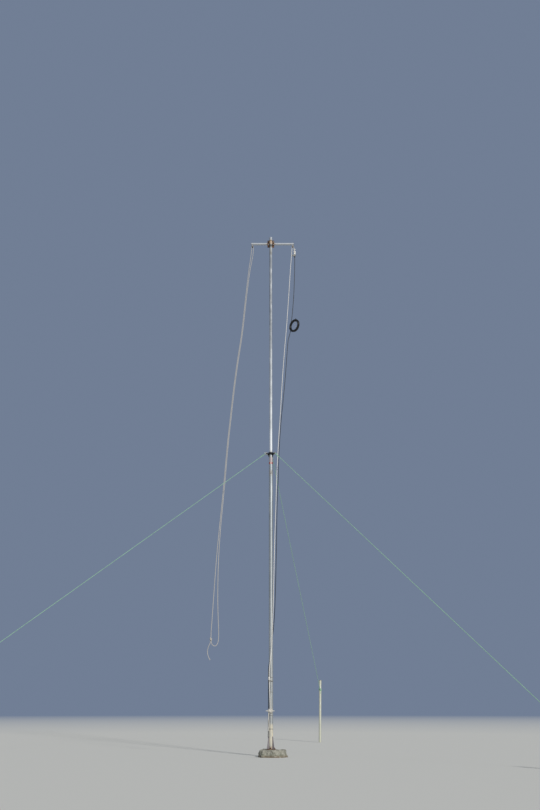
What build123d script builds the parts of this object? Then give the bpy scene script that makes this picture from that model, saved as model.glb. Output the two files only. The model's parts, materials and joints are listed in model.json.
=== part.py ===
from build123d import *
import math
import os

# Guyed two-section pipe mast with a crossarm, halyards, a coaxial cable and three rope guys.
# Millimetres, +Z up. The origin is on the mast's axis, on the flat underside of the footing.
# The mast is looked at along +Y. Azimuths are in degrees, clockwise from +Y seen from above.

# Driving dimensions: footing and foot
footing_height = 100
footing_taper = 14
footing_corner = 30
plate_radius = 64
plate_thickness = 10
stud_radius = 6
stud_circle = 50
stud_depth = 60
stud_above_nut = 8
nut_height = 10
nut_across = 19
gusset_width = 30
gusset_height = 165
gusset_thickness = 8
gusset_toe = 12

# Driving dimensions: the two pipes
lower_radius = 30.15
lower_wall = 3.6
lower_top = 4480
upper_radius = 24.15
upper_wall = 3.2
mast_top = 8400
overlap = 300
joint_bolt_radius = 5
band_height = 4332
band_width = 36
band_thickness = 0.8
cap_wall = 2.2
cap_skirt = 17
cap_dome = 7

# Driving dimensions: guy plate and collar
guy_azimuths = {"back": 10.5, "right": 130.5, "left": 250.5}
guy_plate_thickness = 10
guy_hole_circle = 68
guy_hole_radius = 6
guy_corner_radius = 16
web_reach = 26
web_drop = 52
web_thickness = 8
web_lip = 4
collar_height = 20
collar_wall = 13
collar_bolt_radius = 4

# Driving dimensions: crossarm and its clamp
arm_height = 8296
arm_radius = 21.2
arm_wall = 2.6
arm_left = 340
arm_right = 400
arm_cap_wall = 3
arm_cap_plug = 8
arm_cap_lip = 1.5
clamp_width = 116
clamp_height = 136
clamp_drop = 14
clamp_thickness = 6
clamp_corner = 8
u_bolt_radius = 4
mast_u_bolt_rise = 50
arm_u_bolt_side = 43
small_nut_height = 6.5
small_nut_across = 13
thread_end = 5

# Driving dimensions: pulleys
left_pulley_x = -318
right_pulley_x = 384
sheave_drop = 34
sheave_radius = 15
groove_root = 8.7
sheave_width = 14
strap_thickness = 3
strap_width = 22
axle_radius = 3
axle_head = 5
pulley_bolt_radius = 4
pulley_nut_height = 5

# Driving dimensions: ropes, cable and feedpoint
rope_radius = 5
guy_rope_radius = 4
cable_radius = 5
coil_radius = 95
coil_bundle = 20
coil_turn = 47
coil_side_x = 330
coil_height = 6714
coil_lead_angle = 30
coil_lead_length = 55
insulator_radius = 17
insulator_waist = 11
insulator_groove = 18
insulator_end = 9
insulator_height = 56
insulator_x = 414
insulator_centre = 8118
lug_thickness = 6
lug_radius = 11
lug_hole = 6
loop_radius = 12
feed_knot_radius = 10.5
feed_knot_height = 26
feed_body_radius = 16
feed_body_left = 374
feed_body_right = 426
terminal_radius = 3
terminal_length = 8
terminal_nut = 9
boss_radius = 10
boss_drop = 2
gland_radius = 8.5
gland_across = 19
gland_length = 25

# Driving dimensions: what the right rope is made fast to, and what holds the cable
cleat_azimuth = 192
cleat_height = 622
horn_length = 132
horn_radius = 7
horn_tip = 4
cleat_stem_width = 26
cleat_stem_height = 12
cleat_gap = 12.6
cleat_base_width = 44
cleat_base_height = 70
cleat_bolt_across = 9
cleat_bolt_inset = 9
cleat_base_depth = 8
hitch_width = 60
hitch_height = 40
tail_side = 24
tie_off_azimuth = 215
tie_off_height = 1034
tie_off_width = 20
tie_off_strip = 2
eye_radius = 12
eye_rod = 3
eye_bite = 1.5
tie_off_knot_radius = 11
tie_off_knot_length = 48
cable_azimuth = 277
tie_heights = [1085, 880, 560, 375]
tie_width = 8
tie_thickness = 1.6
conduit_x = -13
conduit_y = 91
conduit_radius = 16
conduit_wall = 3
conduit_height = 50
conduit_depth = 30

# Driving dimensions: guys and anchor posts
anchor_reach = {"back": 5600, "right": 4510, "left": 5290}
anchor_height = {"back": 1185, "right": 560, "left": 560}
anchor_lean = 10
anchor_radius = 24.15
anchor_wall = 3.2
anchor_cap_height = 8
anchor_cap_lip = 4
hitch_drop = 185
hitch_turns = 3
shackle_rod = 4
shackle_bend = 14
shackle_leg = 22
shackle_ear = 8
shackle_ear_thickness = 6.5
shackle_pin_head = 4
guy_eye_radius = 13
splice_length = 90
splice_radius = 7

# Driving dimensions: the knot and the free ends of the left rope
left_knot_x = -897
left_knot_bottom = 1608
left_knot_radius = 16
left_knot_height = 44
knot_bevel = 4
rope_pair = 6

# Clearances
slip = 0.3
touch = 0.1

# Worked-out levels and places
plate_top = footing_height + plate_thickness
guy_plate_top = lower_top + guy_plate_thickness
upper_bottom = lower_top - overlap
joint_bolt_height = upper_bottom - joint_bolt_radius - touch
clamp_front = upper_radius
clamp_back = clamp_front + clamp_thickness
arm_y = clamp_back + arm_radius
arm_bottom = arm_height - arm_radius
clamp_centre = arm_height - clamp_drop
sheave_height = arm_bottom - sheave_drop
rope_turn = groove_root + slip + rope_radius
insulator_top = insulator_centre + insulator_height / 2
insulator_bottom = insulator_centre - insulator_height / 2
feed_body_height = insulator_bottom - feed_body_radius
boss_bottom = feed_body_height - feed_body_radius - boss_drop
gland_bottom = boss_bottom - gland_length
lug_hole_height = insulator_top + lug_radius - touch
lug_eye = Vector(insulator_x, arm_y, lug_hole_height)
feed_line = (Vector(right_pulley_x + rope_turn, arm_y, sheave_height) - lug_eye).normalized()
feed_knot_start = lug_eye + feed_line * (2 * loop_radius)
feed_knot_end = feed_knot_start + feed_line * feed_knot_height


def direction(azimuth):
    """Horizontal unit vector at an azimuth."""
    angle = math.radians(azimuth)
    return Vector(math.sin(angle), math.cos(angle), 0)


def ring(outer, inner, low, high):
    """Upright pipe round the mast's axis."""
    return Pos(0, 0, low) * extrude(Circle(outer) - Circle(inner), high - low)


def rod(start, end, radius):
    """Round bar from one point to another."""
    axis = end - start
    return extrude(Plane(origin=start, z_dir=axis) * Circle(radius), axis.length)


def hexagon(start, axis, across, height):
    """Nut or bolt head that stands on a point and rises along an axis."""
    return extrude(Plane(origin=start, z_dir=axis) * RegularPolygon(across / math.sqrt(3), 6), height)


def at_azimuth(azimuth, height=0):
    """Frame with local X outwards, local Y upwards and local Z tangential."""
    out = direction(azimuth)
    return Plane(origin=(0, 0, height), x_dir=out, z_dir=out.cross(Vector(0, 0, 1)))


def corner_radii(points):
    """Largest tangent arcs that fit: 0.45 of the shorter run over the tangent of half the turn."""
    radii = []
    for before, here, after in zip(points, points[1:], points[2:]):
        one = here - before
        two = after - here
        turn = math.radians(one.get_angle(two))
        radii.append(0.45 * min(one.length, two.length) / math.tan(turn / 2))
    return radii


def cord(name, route, radius):
    """Round cord along straight runs joined by tangent arcs."""
    points = [Vector(p) for p in route]
    radii = corner_radii(points)
    print(name, "radii", [round(r) for r in radii])
    path = FilletPolyline(*points, radius=radii)
    solid = sweep(Plane(origin=path @ 0, z_dir=path % 0) * Circle(radius), path=path)
    ratio = solid.volume / (math.pi * radius**2 * path.length)
    print(name, "length", round(path.length), "volume ratio", round(ratio, 4))
    return solid


def u_bolt(bend, leg, radius):
    """U-bolt with its bend's centre at the origin, its bend towards -Y and its legs along +Y."""
    left = Vector(-bend, leg, 0)
    right = Vector(bend, leg, 0)
    path = Wire([
        Line(left, (-bend, 0, 0)).edge(),
        ThreePointArc((-bend, 0, 0), (0, -bend, 0), (bend, 0, 0)).edge(),
        Line((bend, 0, 0), right).edge(),
    ])
    return sweep(Plane(origin=left, z_dir=(0, -1, 0)) * Circle(radius), path=path)


def knot(top, radius, height):
    """Plain closed form of a knot: an upright barrel with bevelled ends under a point."""
    body = Pos(top.X, top.Y, top.Z - height / 2) * Cylinder(radius, height)
    return chamfer(body.edges().filter_by(GeomType.CIRCLE), knot_bevel)


# Foot: footing, plate, webs and studs
stud_azimuths = [azimuth + 60 for azimuth in guy_azimuths.values()]


def make_footing():
    """Hand-laid lump of concrete, longer to the right of the mast."""
    outline = [
        (-182, -40), (-140, -165), (10, -195), (165, -170), (242, -40),
        (215, 120), (70, 200), (-105, 170), (-170, 70),
    ]
    face = Polygon(*outline, align=None)
    body = extrude(fillet(face.vertices(), footing_corner), footing_height, taper=footing_taper)
    for azimuth in stud_azimuths:
        place = direction(azimuth) * stud_circle
        pocket = Cylinder(stud_radius + slip, stud_depth * 2)
        body -= Pos(place.X, place.Y, footing_height) * pocket
    body -= Pos(conduit_x, conduit_y, footing_height) * Cylinder(conduit_radius + slip, conduit_depth * 2)
    return body


def make_base_plate():
    """Round foot plate with its three stud holes."""
    face = Circle(plate_radius)
    for azimuth in stud_azimuths:
        place = direction(azimuth) * stud_circle
        face -= Pos(place.X, place.Y) * Circle(stud_radius + slip)
    return Pos(0, 0, footing_height) * extrude(face, plate_thickness)


def make_gusset(azimuth):
    """Tapered web from the plate up the pipe."""
    inner = lower_radius + touch
    outer = inner + gusset_width
    shoulder = inner + gusset_toe / 2
    outline = [(inner, 0), (outer, 0), (outer, gusset_toe), (shoulder, gusset_height), (inner, gusset_height)]
    face = at_azimuth(azimuth, plate_top) * Polygon(*outline, align=None)
    return extrude(face, gusset_thickness / 2, both=True)


def make_stud(azimuth):
    """Stud set in the footing with its nut on the plate."""
    place = direction(azimuth) * stud_circle
    foot = Vector(place.X, place.Y, footing_height - stud_depth)
    nut = Vector(place.X, place.Y, plate_top)
    tip = nut + Vector(0, 0, nut_height + stud_above_nut)
    return rod(foot, tip, stud_radius) + hexagon(nut, Vector(0, 0, 1), nut_across, nut_height)


# Mast: two pipes, their cross bolt, the tape band and the cap
def make_lower_tube():
    """Thick lower pipe with the hole for the cross bolt."""
    pipe = ring(lower_radius, lower_radius - lower_wall, plate_top, lower_top)
    hole = Cylinder(joint_bolt_radius + slip, lower_radius * 3)
    return pipe - Pos(0, 0, joint_bolt_height) * Rot(90, 0, 0) * hole


def make_joint_bolt():
    """Bolt through the lower pipe that the upper pipe stands on."""
    front = Vector(0, -lower_radius - touch, joint_bolt_height)
    back = Vector(0, lower_radius + touch, joint_bolt_height)
    across = joint_bolt_radius * 3.4
    thick = joint_bolt_radius * 1.3
    end = back + Vector(0, thick + thread_end, 0)
    bolt = rod(front, end, joint_bolt_radius)
    head = hexagon(front, Vector(0, -1, 0), across, thick)
    return bolt + head + hexagon(back, Vector(0, 1, 0), across, thick)


def make_red_band():
    """Band of tape round the top of the lower pipe."""
    inner = lower_radius + touch
    return ring(inner + band_thickness, inner, band_height - band_width / 2, band_height + band_width / 2)


cap_seat = mast_top - cap_dome
cap_radius = upper_radius + slip + cap_wall


def make_mast_cap():
    """Domed cap that closes the top of the mast."""
    height = cap_skirt + cap_dome
    dome_radius = (cap_radius**2 + cap_dome**2) / (2 * cap_dome)
    body = Pos(0, 0, mast_top - height / 2) * Cylinder(cap_radius, height)
    body &= Pos(0, 0, mast_top - dome_radius) * Sphere(dome_radius)
    return body - Pos(0, 0, cap_seat - cap_skirt / 2) * Cylinder(upper_radius + slip, cap_skirt)


# Guy plate and collar
def make_guy_plate():
    """Three-cornered plate on the lower pipe's end, with a web under each corner."""
    corners = [direction(azimuth) * guy_hole_circle for azimuth in guy_azimuths.values()]
    face = offset(Polygon(*[(c.X, c.Y) for c in corners], align=None), guy_corner_radius)
    face -= Circle(upper_radius + slip)
    for corner in corners:
        face -= Pos(corner.X, corner.Y) * Circle(guy_hole_radius)
    plate = Pos(0, 0, lower_top) * extrude(face, guy_plate_thickness, dir=(0, 0, 1))
    inner = lower_radius + touch
    web = [(inner, 0), (inner + web_reach, 0), (inner + web_reach, -web_lip), (inner, -web_drop)]
    for azimuth in guy_azimuths.values():
        face = at_azimuth(azimuth, lower_top) * Polygon(*web, align=None)
        plate += extrude(face, web_thickness / 2, both=True)
    return plate


def make_lock_collar():
    """Collar that grips the upper pipe above the plate, with two set bolts."""
    outer = upper_radius + collar_wall
    collar = ring(outer, upper_radius + touch, guy_plate_top, guy_plate_top + collar_height)
    for azimuth in (guy_azimuths["back"] + 60, guy_azimuths["back"] + 240):
        out = direction(azimuth)
        start = out * (outer - 1) + Vector(0, 0, guy_plate_top + collar_height / 2)
        collar += hexagon(start, out, collar_bolt_radius * 2.6, collar_bolt_radius * 1.6)
    return collar


# Crossarm and clamp
mast_bend = upper_radius + u_bolt_radius + touch
arm_bend = arm_radius + u_bolt_radius + touch


def make_crossarm():
    """Pipe across the top, with the two bolt holes for the pulleys."""
    start = Vector(-arm_left, arm_y, arm_height)
    end = Vector(arm_right, arm_y, arm_height)
    pipe = rod(start, end, arm_radius) - rod(start, end, arm_radius - arm_wall)
    for x in (left_pulley_x, right_pulley_x):
        pipe -= Pos(x, arm_y, arm_height) * Cylinder(pulley_bolt_radius + slip, arm_radius * 3)
    return pipe


def make_arm_cap(end_x, outward):
    """Plug that closes one end of the crossarm."""
    end = Vector(end_x, arm_y, arm_height)
    out = Vector(outward, 0, 0)
    return rod(end, end + out * arm_cap_wall, arm_radius + arm_cap_lip) + rod(
        end - out * arm_cap_plug, end, arm_radius - arm_wall - slip
    )


def make_clamp_plate():
    """Rusty plate between mast and crossarm, with eight holes for the U-bolts."""
    face = RectangleRounded(clamp_width, clamp_height, clamp_corner)
    arm_offset = arm_height - clamp_centre
    for side in (-1, 1):
        for end in (-1, 1):
            face -= Pos(side * mast_bend, end * mast_u_bolt_rise) * Circle(u_bolt_radius + slip)
            face -= Pos(side * arm_u_bolt_side, arm_offset + end * arm_bend) * Circle(u_bolt_radius + slip)
    plane = Plane(origin=(0, clamp_front, clamp_centre), x_dir=(-1, 0, 0), z_dir=(0, 1, 0))
    return extrude(plane * face, clamp_thickness)


def make_mast_u_bolt(height):
    """U-bolt round the front of the mast, with its nuts behind the plate."""
    bolt = Pos(0, 0, height) * u_bolt(mast_bend, clamp_back + small_nut_height + thread_end, u_bolt_radius)
    for side in (-1, 1):
        seat = Vector(side * mast_bend, clamp_back, height)
        bolt += hexagon(seat, Vector(0, 1, 0), small_nut_across, small_nut_height)
    return bolt


def make_arm_u_bolt(x):
    """U-bolt round the back of the crossarm, with its nuts in front of the plate."""
    leg = arm_y - clamp_front + small_nut_height + thread_end
    bolt = Pos(x, arm_y, arm_height) * Rot(0, 0, 180) * Rot(0, 90, 0) * u_bolt(arm_bend, leg, u_bolt_radius)
    for end in (-1, 1):
        seat = Vector(x, clamp_front, arm_height + end * arm_bend)
        bolt += hexagon(seat, Vector(0, -1, 0), small_nut_across, small_nut_height)
    return bolt


# Pulleys under the ends of the crossarm
strap_inside = sheave_width / 2 + slip
strap_outside = strap_inside + strap_thickness


def make_pulley_strap(x):
    """Bent strap that hangs from the crossarm and carries the axle."""
    plane = Plane(origin=(x, arm_y, sheave_height), x_dir=(1, 0, 0), z_dir=(0, -1, 0))
    side = Circle(strap_width / 2) + Pos(0, sheave_drop / 2) * Rectangle(strap_width, sheave_drop)
    strap = extrude(plane * side, strap_outside, both=True)
    room = sheave_drop + strap_width - strap_thickness
    below = Pos(x, arm_y, arm_bottom - strap_thickness - room / 2)
    strap -= below * Box(strap_width * 2, strap_inside * 2, room)
    strap -= Pos(x, arm_y, sheave_height) * Rot(90, 0, 0) * Cylinder(axle_radius + touch, strap_width * 2)
    return strap - Pos(x, arm_y, arm_bottom) * Cylinder(pulley_bolt_radius + slip, strap_width)


def make_pulley_sheave(x):
    """Grooved wheel on its axle."""
    half = sheave_width / 2
    lip = half - 1.4
    bore = axle_radius + touch
    outline = [
        Line((bore, -half), (sheave_radius, -half)),
        Line((sheave_radius, -half), (sheave_radius, -lip)),
        ThreePointArc((sheave_radius, -lip), (groove_root, 0), (sheave_radius, lip)),
        Line((sheave_radius, lip), (sheave_radius, half)),
        Line((sheave_radius, half), (bore, half)),
        Line((bore, half), (bore, -half)),
    ]
    wheel = revolve(make_face(outline), Axis.Y)
    return Pos(x, arm_y, sheave_height) * wheel


def make_pulley_pin(x):
    """Axle with a head at each end."""
    centre = Vector(x, arm_y, sheave_height)
    reach = Vector(0, strap_outside + touch, 0)
    head = Vector(0, axle_radius / 1.5, 0)
    pin = rod(centre - reach, centre + reach, axle_radius)
    front = rod(centre - reach - head, centre - reach, axle_head)
    return pin + front + rod(centre + reach, centre + reach + head, axle_head)


def make_pulley_bolt(x):
    """Bolt through the crossarm that holds the strap."""
    top = Vector(x, arm_y, arm_height + arm_radius)
    seat = Vector(x, arm_y, arm_bottom - strap_thickness)
    down = Vector(0, 0, -1)
    bolt = rod(top, seat + down * (pulley_nut_height + 2), pulley_bolt_radius)
    bolt += hexagon(top, Vector(0, 0, 1), small_nut_across, pulley_nut_height)
    return bolt + hexagon(seat, down, small_nut_across, pulley_nut_height)


# Feedpoint at the right end
def make_feed_insulator():
    """Waisted insulator with an eye on top for the rope."""
    low = insulator_bottom
    top = insulator_top
    edge = insulator_radius
    shoulder = edge - insulator_end
    groove_low = insulator_centre - insulator_groove / 2
    groove_top = insulator_centre + insulator_groove / 2
    outline = [
        Line((0, low), (insulator_end, low)),
        TangentArc((insulator_end, low), (edge, low + shoulder), tangent=(1, 0)),
        Line((edge, low + shoulder), (edge, groove_low)),
        ThreePointArc((edge, groove_low), (insulator_waist, insulator_centre), (edge, groove_top)),
        Line((edge, groove_top), (edge, top - shoulder)),
        TangentArc((edge, top - shoulder), (insulator_end, top), tangent=(0, 1)),
        Line((insulator_end, top), (0, top)),
        Line((0, top), (0, low)),
    ]
    body = revolve(Plane.XZ * make_face(outline), Axis.Z)
    lug = Circle(lug_radius) - Circle(lug_hole)
    lug += Pos(0, -lug_radius) * Rectangle(insulator_end * 2, insulator_end)
    lug -= Circle(lug_hole)
    upright = Plane(origin=(0, 0, lug_hole_height), z_dir=(0, -1, 0))
    body += extrude(upright * lug, lug_thickness / 2, both=True)
    return Pos(insulator_x, arm_y, 0) * body


def make_feed_knot():
    """Rope loop through the insulator's eye, with the knot above it."""
    middle = lug_eye + feed_line * loop_radius
    plane = Plane(origin=middle, x_dir=feed_line, z_dir=feed_line.cross(Vector(0, 1, 0)))
    loop = plane * Torus(loop_radius, rope_radius)
    body = rod(feed_knot_start, feed_knot_end, feed_knot_radius)
    return loop + chamfer(body.edges().filter_by(GeomType.CIRCLE), knot_bevel)


def make_feed_body():
    """Short round housing under the insulator, with a boss for the cable gland."""
    start = Vector(feed_body_left, arm_y, feed_body_height)
    end = Vector(feed_body_right, arm_y, feed_body_height)
    body = rod(start, end, feed_body_radius)
    body = fillet(body.edges().filter_by(GeomType.CIRCLE), terminal_radius)
    middle = Vector(insulator_x, arm_y, feed_body_height)
    return body + rod(middle, Vector(insulator_x, arm_y, boss_bottom), boss_radius)


def make_terminal(x, outward):
    """Screw terminal on one end of the housing."""
    start = Vector(x, arm_y, feed_body_height)
    out = Vector(outward, 0, 0)
    return rod(start, start + out * terminal_length, terminal_radius) + hexagon(
        start, out, terminal_nut, terminal_length / 2
    )


def make_feed_gland():
    """Cable gland: hexagon and rounded nut."""
    top = Vector(insulator_x, arm_y, boss_bottom)
    down = Vector(0, 0, -1)
    hexagon_height = gland_length / 3
    nut = rod(top + down * hexagon_height, top + down * gland_length, gland_radius)
    nut = fillet(nut.edges().sort_by(Axis.Z)[0], gland_radius - cable_radius - slip)
    return nut + hexagon(top, down, gland_across, hexagon_height)


# Cable: coil, ties and the stub of conduit that it goes into
across_coil = Vector(math.cos(math.radians(coil_turn)), -math.sin(math.radians(coil_turn)), 0)
coil_centre = Vector(coil_side_x, arm_y, coil_height) + across_coil * coil_radius
cable_reach = lower_radius + tie_off_strip + cable_radius + 2 * slip
cable_place = direction(cable_azimuth) * cable_reach


def coil_point(angle):
    """Point on the middle of the coil's bundle, from the far side anticlockwise."""
    angle = math.radians(angle)
    outward = across_coil * math.cos(angle) + Vector(0, 0, math.sin(angle))
    return coil_centre + outward * coil_radius


def lead_end(place, angle):
    """Where a lead of the coil that points at a place ends."""
    start = coil_point(angle)
    return start + (Vector(*place) - start).normalized() * coil_lead_length


def make_coax_coil():
    """Outer shape of the wound coil, with the two leads that run out of its left side."""
    plane = Plane(origin=coil_centre, x_dir=across_coil, z_dir=across_coil.cross(Vector(0, 0, 1)))
    coil = plane * Torus(coil_radius, coil_bundle)
    coil += rod(upper_lead, coil_point(180 - coil_lead_angle), cable_radius)
    return coil + rod(lower_lead, coil_point(180 + coil_lead_angle), cable_radius)


def make_tie(height):
    """Band round the lower pipe and the cable beside it."""
    beside = Pos(cable_place.X, cable_place.Y)
    inner = make_hull([Circle(lower_radius + touch).edge(), (beside * Circle(cable_radius + touch)).edge()])
    outer = offset(inner, tie_thickness)
    return Pos(0, 0, height - tie_width / 2) * extrude(outer - inner, tie_width)


def make_conduit_stub():
    """Stub of conduit set in the footing, open at the top."""
    low = footing_height - conduit_depth
    top = footing_height + conduit_height
    stub = Pos(conduit_x, conduit_y, low) * extrude(Circle(conduit_radius), top - low)
    bore = extrude(Circle(conduit_radius - conduit_wall), top - footing_height)
    return stub - Pos(conduit_x, conduit_y, footing_height) * bore


# What the right rope is made fast to
cleat_seat = lower_radius + cleat_base_depth
band_outer = lower_radius + touch + tie_off_strip
eye_reach = band_outer + eye_radius + eye_rod - eye_bite
hitch_depth = cleat_gap - 2 * slip
hitch_reach = cleat_seat + cleat_gap / 2


def make_cleat():
    """Two-horned cleat on a saddle that fits the pipe."""
    depth = cleat_base_depth + lower_radius / 2
    base = Pos(cleat_seat - depth / 2, 0, 0) * Box(depth, cleat_base_height, cleat_base_width)
    base -= Rot(90, 0, 0) * Cylinder(lower_radius + touch, cleat_base_height * 2)
    horn_reach = cleat_seat + cleat_gap + horn_radius
    stem_start = cleat_seat - cleat_base_depth / 4
    stem_end = horn_reach + horn_radius / 3
    stem = Box(stem_end - stem_start, cleat_stem_height, cleat_stem_width)
    stem = Pos((stem_start + stem_end) / 2, 0, 0) * stem
    half = horn_length / 2
    ball = half - horn_tip
    slant = horn_tip * math.sqrt(0.5)
    outline = [
        Spline((-ball, horn_tip), (0, horn_radius), (ball, horn_tip)),
        ThreePointArc((ball, horn_tip), (ball + slant, slant), (half, 0)),
        Line((half, 0), (-half, 0)),
        ThreePointArc((-half, 0), (-ball - slant, slant), (-ball, horn_tip)),
    ]
    horns = revolve(make_face(outline), Axis.X)
    cleat = base + stem + Pos(horn_reach, 0, 0) * Rot(0, 90, 0) * horns
    return at_azimuth(cleat_azimuth, cleat_height) * cleat


def make_cleat_bolt(end, side):
    """Bolt head at one corner of the cleat's saddle."""
    up = cleat_base_height / 2 - cleat_bolt_inset
    across = cleat_base_width / 2 - cleat_bolt_inset
    frame = at_azimuth(cleat_azimuth, cleat_height)
    return frame * Pos(cleat_seat, end * up, side * across) * Rot(0, 90, 0) * hexagon(
        Vector(0, 0, 0), Vector(0, 0, 1), cleat_bolt_across, cleat_bolt_across * 0.45
    )


def make_halyard_hitch():
    """Outer shape of the rope's turns round the cleat's stem."""
    frame = at_azimuth(cleat_azimuth, cleat_height)
    body = frame * Pos(hitch_reach, 0, 0) * Box(hitch_depth, hitch_height, hitch_width)
    room = frame * Pos(hitch_reach, 0, 0) * Box(
        hitch_depth * 2, cleat_stem_height + 2 * slip, cleat_stem_width + 2 * slip
    )
    rounded = body.edges().filter_by(lambda e: abs((e % 0).dot(direction(cleat_azimuth))) > 0.9)
    return fillet(rounded, hitch_height / 3) - room


def make_tie_off_band():
    """Strip round the pipe with an eye for the rope."""
    low = tie_off_height - tie_off_width / 2
    band = ring(band_outer, lower_radius + touch, low, low + tie_off_width)
    place = direction(tie_off_azimuth) * eye_reach
    return band + Pos(place.X, place.Y, tie_off_height) * Torus(eye_radius, eye_rod)


tie_off_place = direction(tie_off_azimuth) * eye_reach
tie_off_bottom = tie_off_height + tie_off_width / 2
tie_off_top = Vector(tie_off_place.X, tie_off_place.Y, tie_off_bottom + tie_off_knot_length)
hitch_place = direction(cleat_azimuth) * hitch_reach
hitch_top = Vector(hitch_place.X, hitch_place.Y, cleat_height + hitch_height / 2)


def make_tie_off_knot():
    """Knot above the eye, and the tight rope from it through the eye to the cleat."""
    bottom = Vector(tie_off_place.X, tie_off_place.Y, tie_off_bottom)
    start = hitch_top + Vector(0, 0, slip)
    middle = bottom + Vector(0, 0, tie_off_knot_length / 2)
    return knot(tie_off_top, tie_off_knot_radius, tie_off_knot_length) + rod(start, middle, rope_radius)


# Routes of the free ropes and the cable
right_side = right_pulley_x + rope_turn
left_side = left_pulley_x + rope_turn
far_side = left_pulley_x - rope_turn
near_side = right_pulley_x - rope_turn
turn_top = sheave_height + rope_turn
left_start = sheave_height - rope_turn

left_outer_route = [
    (left_side, arm_y, left_start), (left_side, arm_y, turn_top), (far_side, arm_y, turn_top),
    (far_side - 1, arm_y, 8218), (-338, 51, 8140), (-352, 52, 7990), (-379, 51, 7800), (-402, 52, 7560),
    (-425, 51, 7330), (-446, 52, 7090), (-466, 53, 6850), (-502, 52, 6500), (-553, 54, 6140),
    (-595, 53, 5780), (-632, 55, 5420), (-663, 54, 5070), (-696, 55, 4720), (-721, 53, 4370),
    (-744, 54, 4020), (-772, 52, 3660), (-803, 53, 3300), (-832, 52, 2930), (-853, 53, 2570),
    (-872, 51, 2200), (-886, 52, 1900), (left_knot_x, 51, 1750),
    (left_knot_x, 51, left_knot_bottom + left_knot_height),
]
left_inner_route = [
    (left_side, arm_y, left_start), (left_side, arm_y, 8140), (-322, 50, 7990), (-358, 51, 7800),
    (-384, 49, 7560), (-409, 50, 7330), (-431, 49, 7090), (-451, 50, 6850), (-487, 49, 6500),
    (-538, 50, 6140), (-580, 48, 5780), (-617, 49, 5420), (-648, 47, 5070), (-681, 48, 4720),
    (-706, 47, 4370), (-728, 48, 4020), (-756, 47, 3660), (-784, 49, 3300), (-803, 48, 2930),
    (-810, 50, 2570), (-807, 49, 2200), (-793, 50, 1910), (-783, 50, 1760), (-781, 51, 1665),
    (-786, 51, 1600), (-801, 51, 1555), (-826, 51, 1532), (-854, 51, 1534), (-875, 51, 1552),
    (left_knot_x + rope_pair, 51, 1580), (left_knot_x + rope_pair, 51, left_knot_bottom),
]
left_tail_route = [
    (left_knot_x - rope_pair, 51, left_knot_bottom), (left_knot_x - rope_pair, 51, 1580),
    (-922, 51, 1545), (-940, 52, 1500), (-945, 52, 1450), (-938, 51, 1402), (-921, 51, 1362),
    (-901, 50, 1332),
]
right_route = [
    feed_knot_end, (right_side, arm_y, sheave_height), (right_side, arm_y, turn_top),
    (near_side, arm_y, turn_top), (near_side - 1, arm_y, 8218), (364, 50, 8140), (357, 49, 8060),
    (347, 48, 7920), (335, 46, 7770), (314, 43, 7430), (290, 39, 7080), (265, 35, 6720), (239, 31, 6420),
    (214, 28, 6120), (189, 24, 5770), (168, 19, 5400), (148, 14, 5080), (126, 9, 4760), (105, 4, 4400),
    (89, -2, 4060), (79, -8, 3680), (65, -14, 3300), (54, -20, 2950), (45, -25, 2600), (37, -31, 2220),
    (25, -36, 1850), (10, -38, 1560), (-8, -39, 1330), (tie_off_top.X, tie_off_top.Y, 1190), tie_off_top,
]
tail_place = hitch_place + direction(cleat_azimuth).cross(Vector(0, 0, 1)) * tail_side
halyard_tail_route = [
    (tail_place.X, tail_place.Y, cleat_height - hitch_height / 2), (tail_place.X, tail_place.Y, 568),
    (-35, -38, 520), (-29, -44, 475), (-30, -43, 430), (-33, -40, 390), (-34, -39, 350),
]
above_coil = (357, 52, 6893)
below_coil = (303, 53, 6533)
upper_lead = lead_end(above_coil, 180 - coil_lead_angle)
lower_lead = lead_end(below_coil, 180 + coil_lead_angle)
coax_upper_route = [
    (insulator_x, arm_y, gland_bottom), (insulator_x, arm_y, 7940), (411, 52, 7780), (404, 51, 7600),
    (397, 52, 7410), (386, 51, 7220), (372, 50, 7060), above_coil, upper_lead,
]
coax_lower_route = [
    lower_lead, below_coil, (287, 52, 6470), (263, 50, 6150), (237, 51, 5790), (203, 49, 5430),
    (166, 50, 5070), (142, 48, 4740), (125, 49, 4400), (116, 47, 4080), (100, 47, 3750), (91, 46, 3380),
    (85, 47, 2990), (77, 46, 2660), (69, 46, 2340), (58, 46, 2050), (42, 45, 1820), (22, 43, 1640),
    (0, 40, 1490), (-21, 34, 1360), (-32, 20, 1250), (cable_place.X, cable_place.Y, 1150),
    (cable_place.X, cable_place.Y, 330), (-41, 18, 285), (-38, 44, 245), (-27, 68, 213), (-16, 85, 185),
    (conduit_x, conduit_y, 160), (conduit_x, conduit_y, footing_height),
]


# Guys, shackles, hitches and anchor posts
hitch_pitch = guy_rope_radius * 1.9
hitch_ring = anchor_radius + slip + guy_rope_radius


def post_axis(side):
    """Direction of an anchor post, which leans away from the mast."""
    lean = math.radians(anchor_lean)
    return direction(guy_azimuths[side]) * math.sin(lean) + Vector(0, 0, math.cos(lean))


def hitch_middle(side):
    """Point on a post's axis at the middle of the guy's turns."""
    return direction(guy_azimuths[side]) * anchor_reach[side] + Vector(0, 0, anchor_height[side] - hitch_drop)


def guy_line(side):
    """Where a guy starts at its shackle, where it meets its top turn, and its direction between them."""
    out = direction(guy_azimuths[side])
    start = out * (guy_hole_circle + shackle_leg) + Vector(0, 0, lower_top + guy_plate_thickness / 2)
    lean = math.radians(anchor_lean)
    inward = Vector(0, 0, math.sin(lean)) - out * math.cos(lean)
    end = hitch_middle(side) + post_axis(side) * (hitch_pitch * (hitch_turns - 1) / 2) + inward * hitch_ring
    return start, end, (end - start).normalized()


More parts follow.
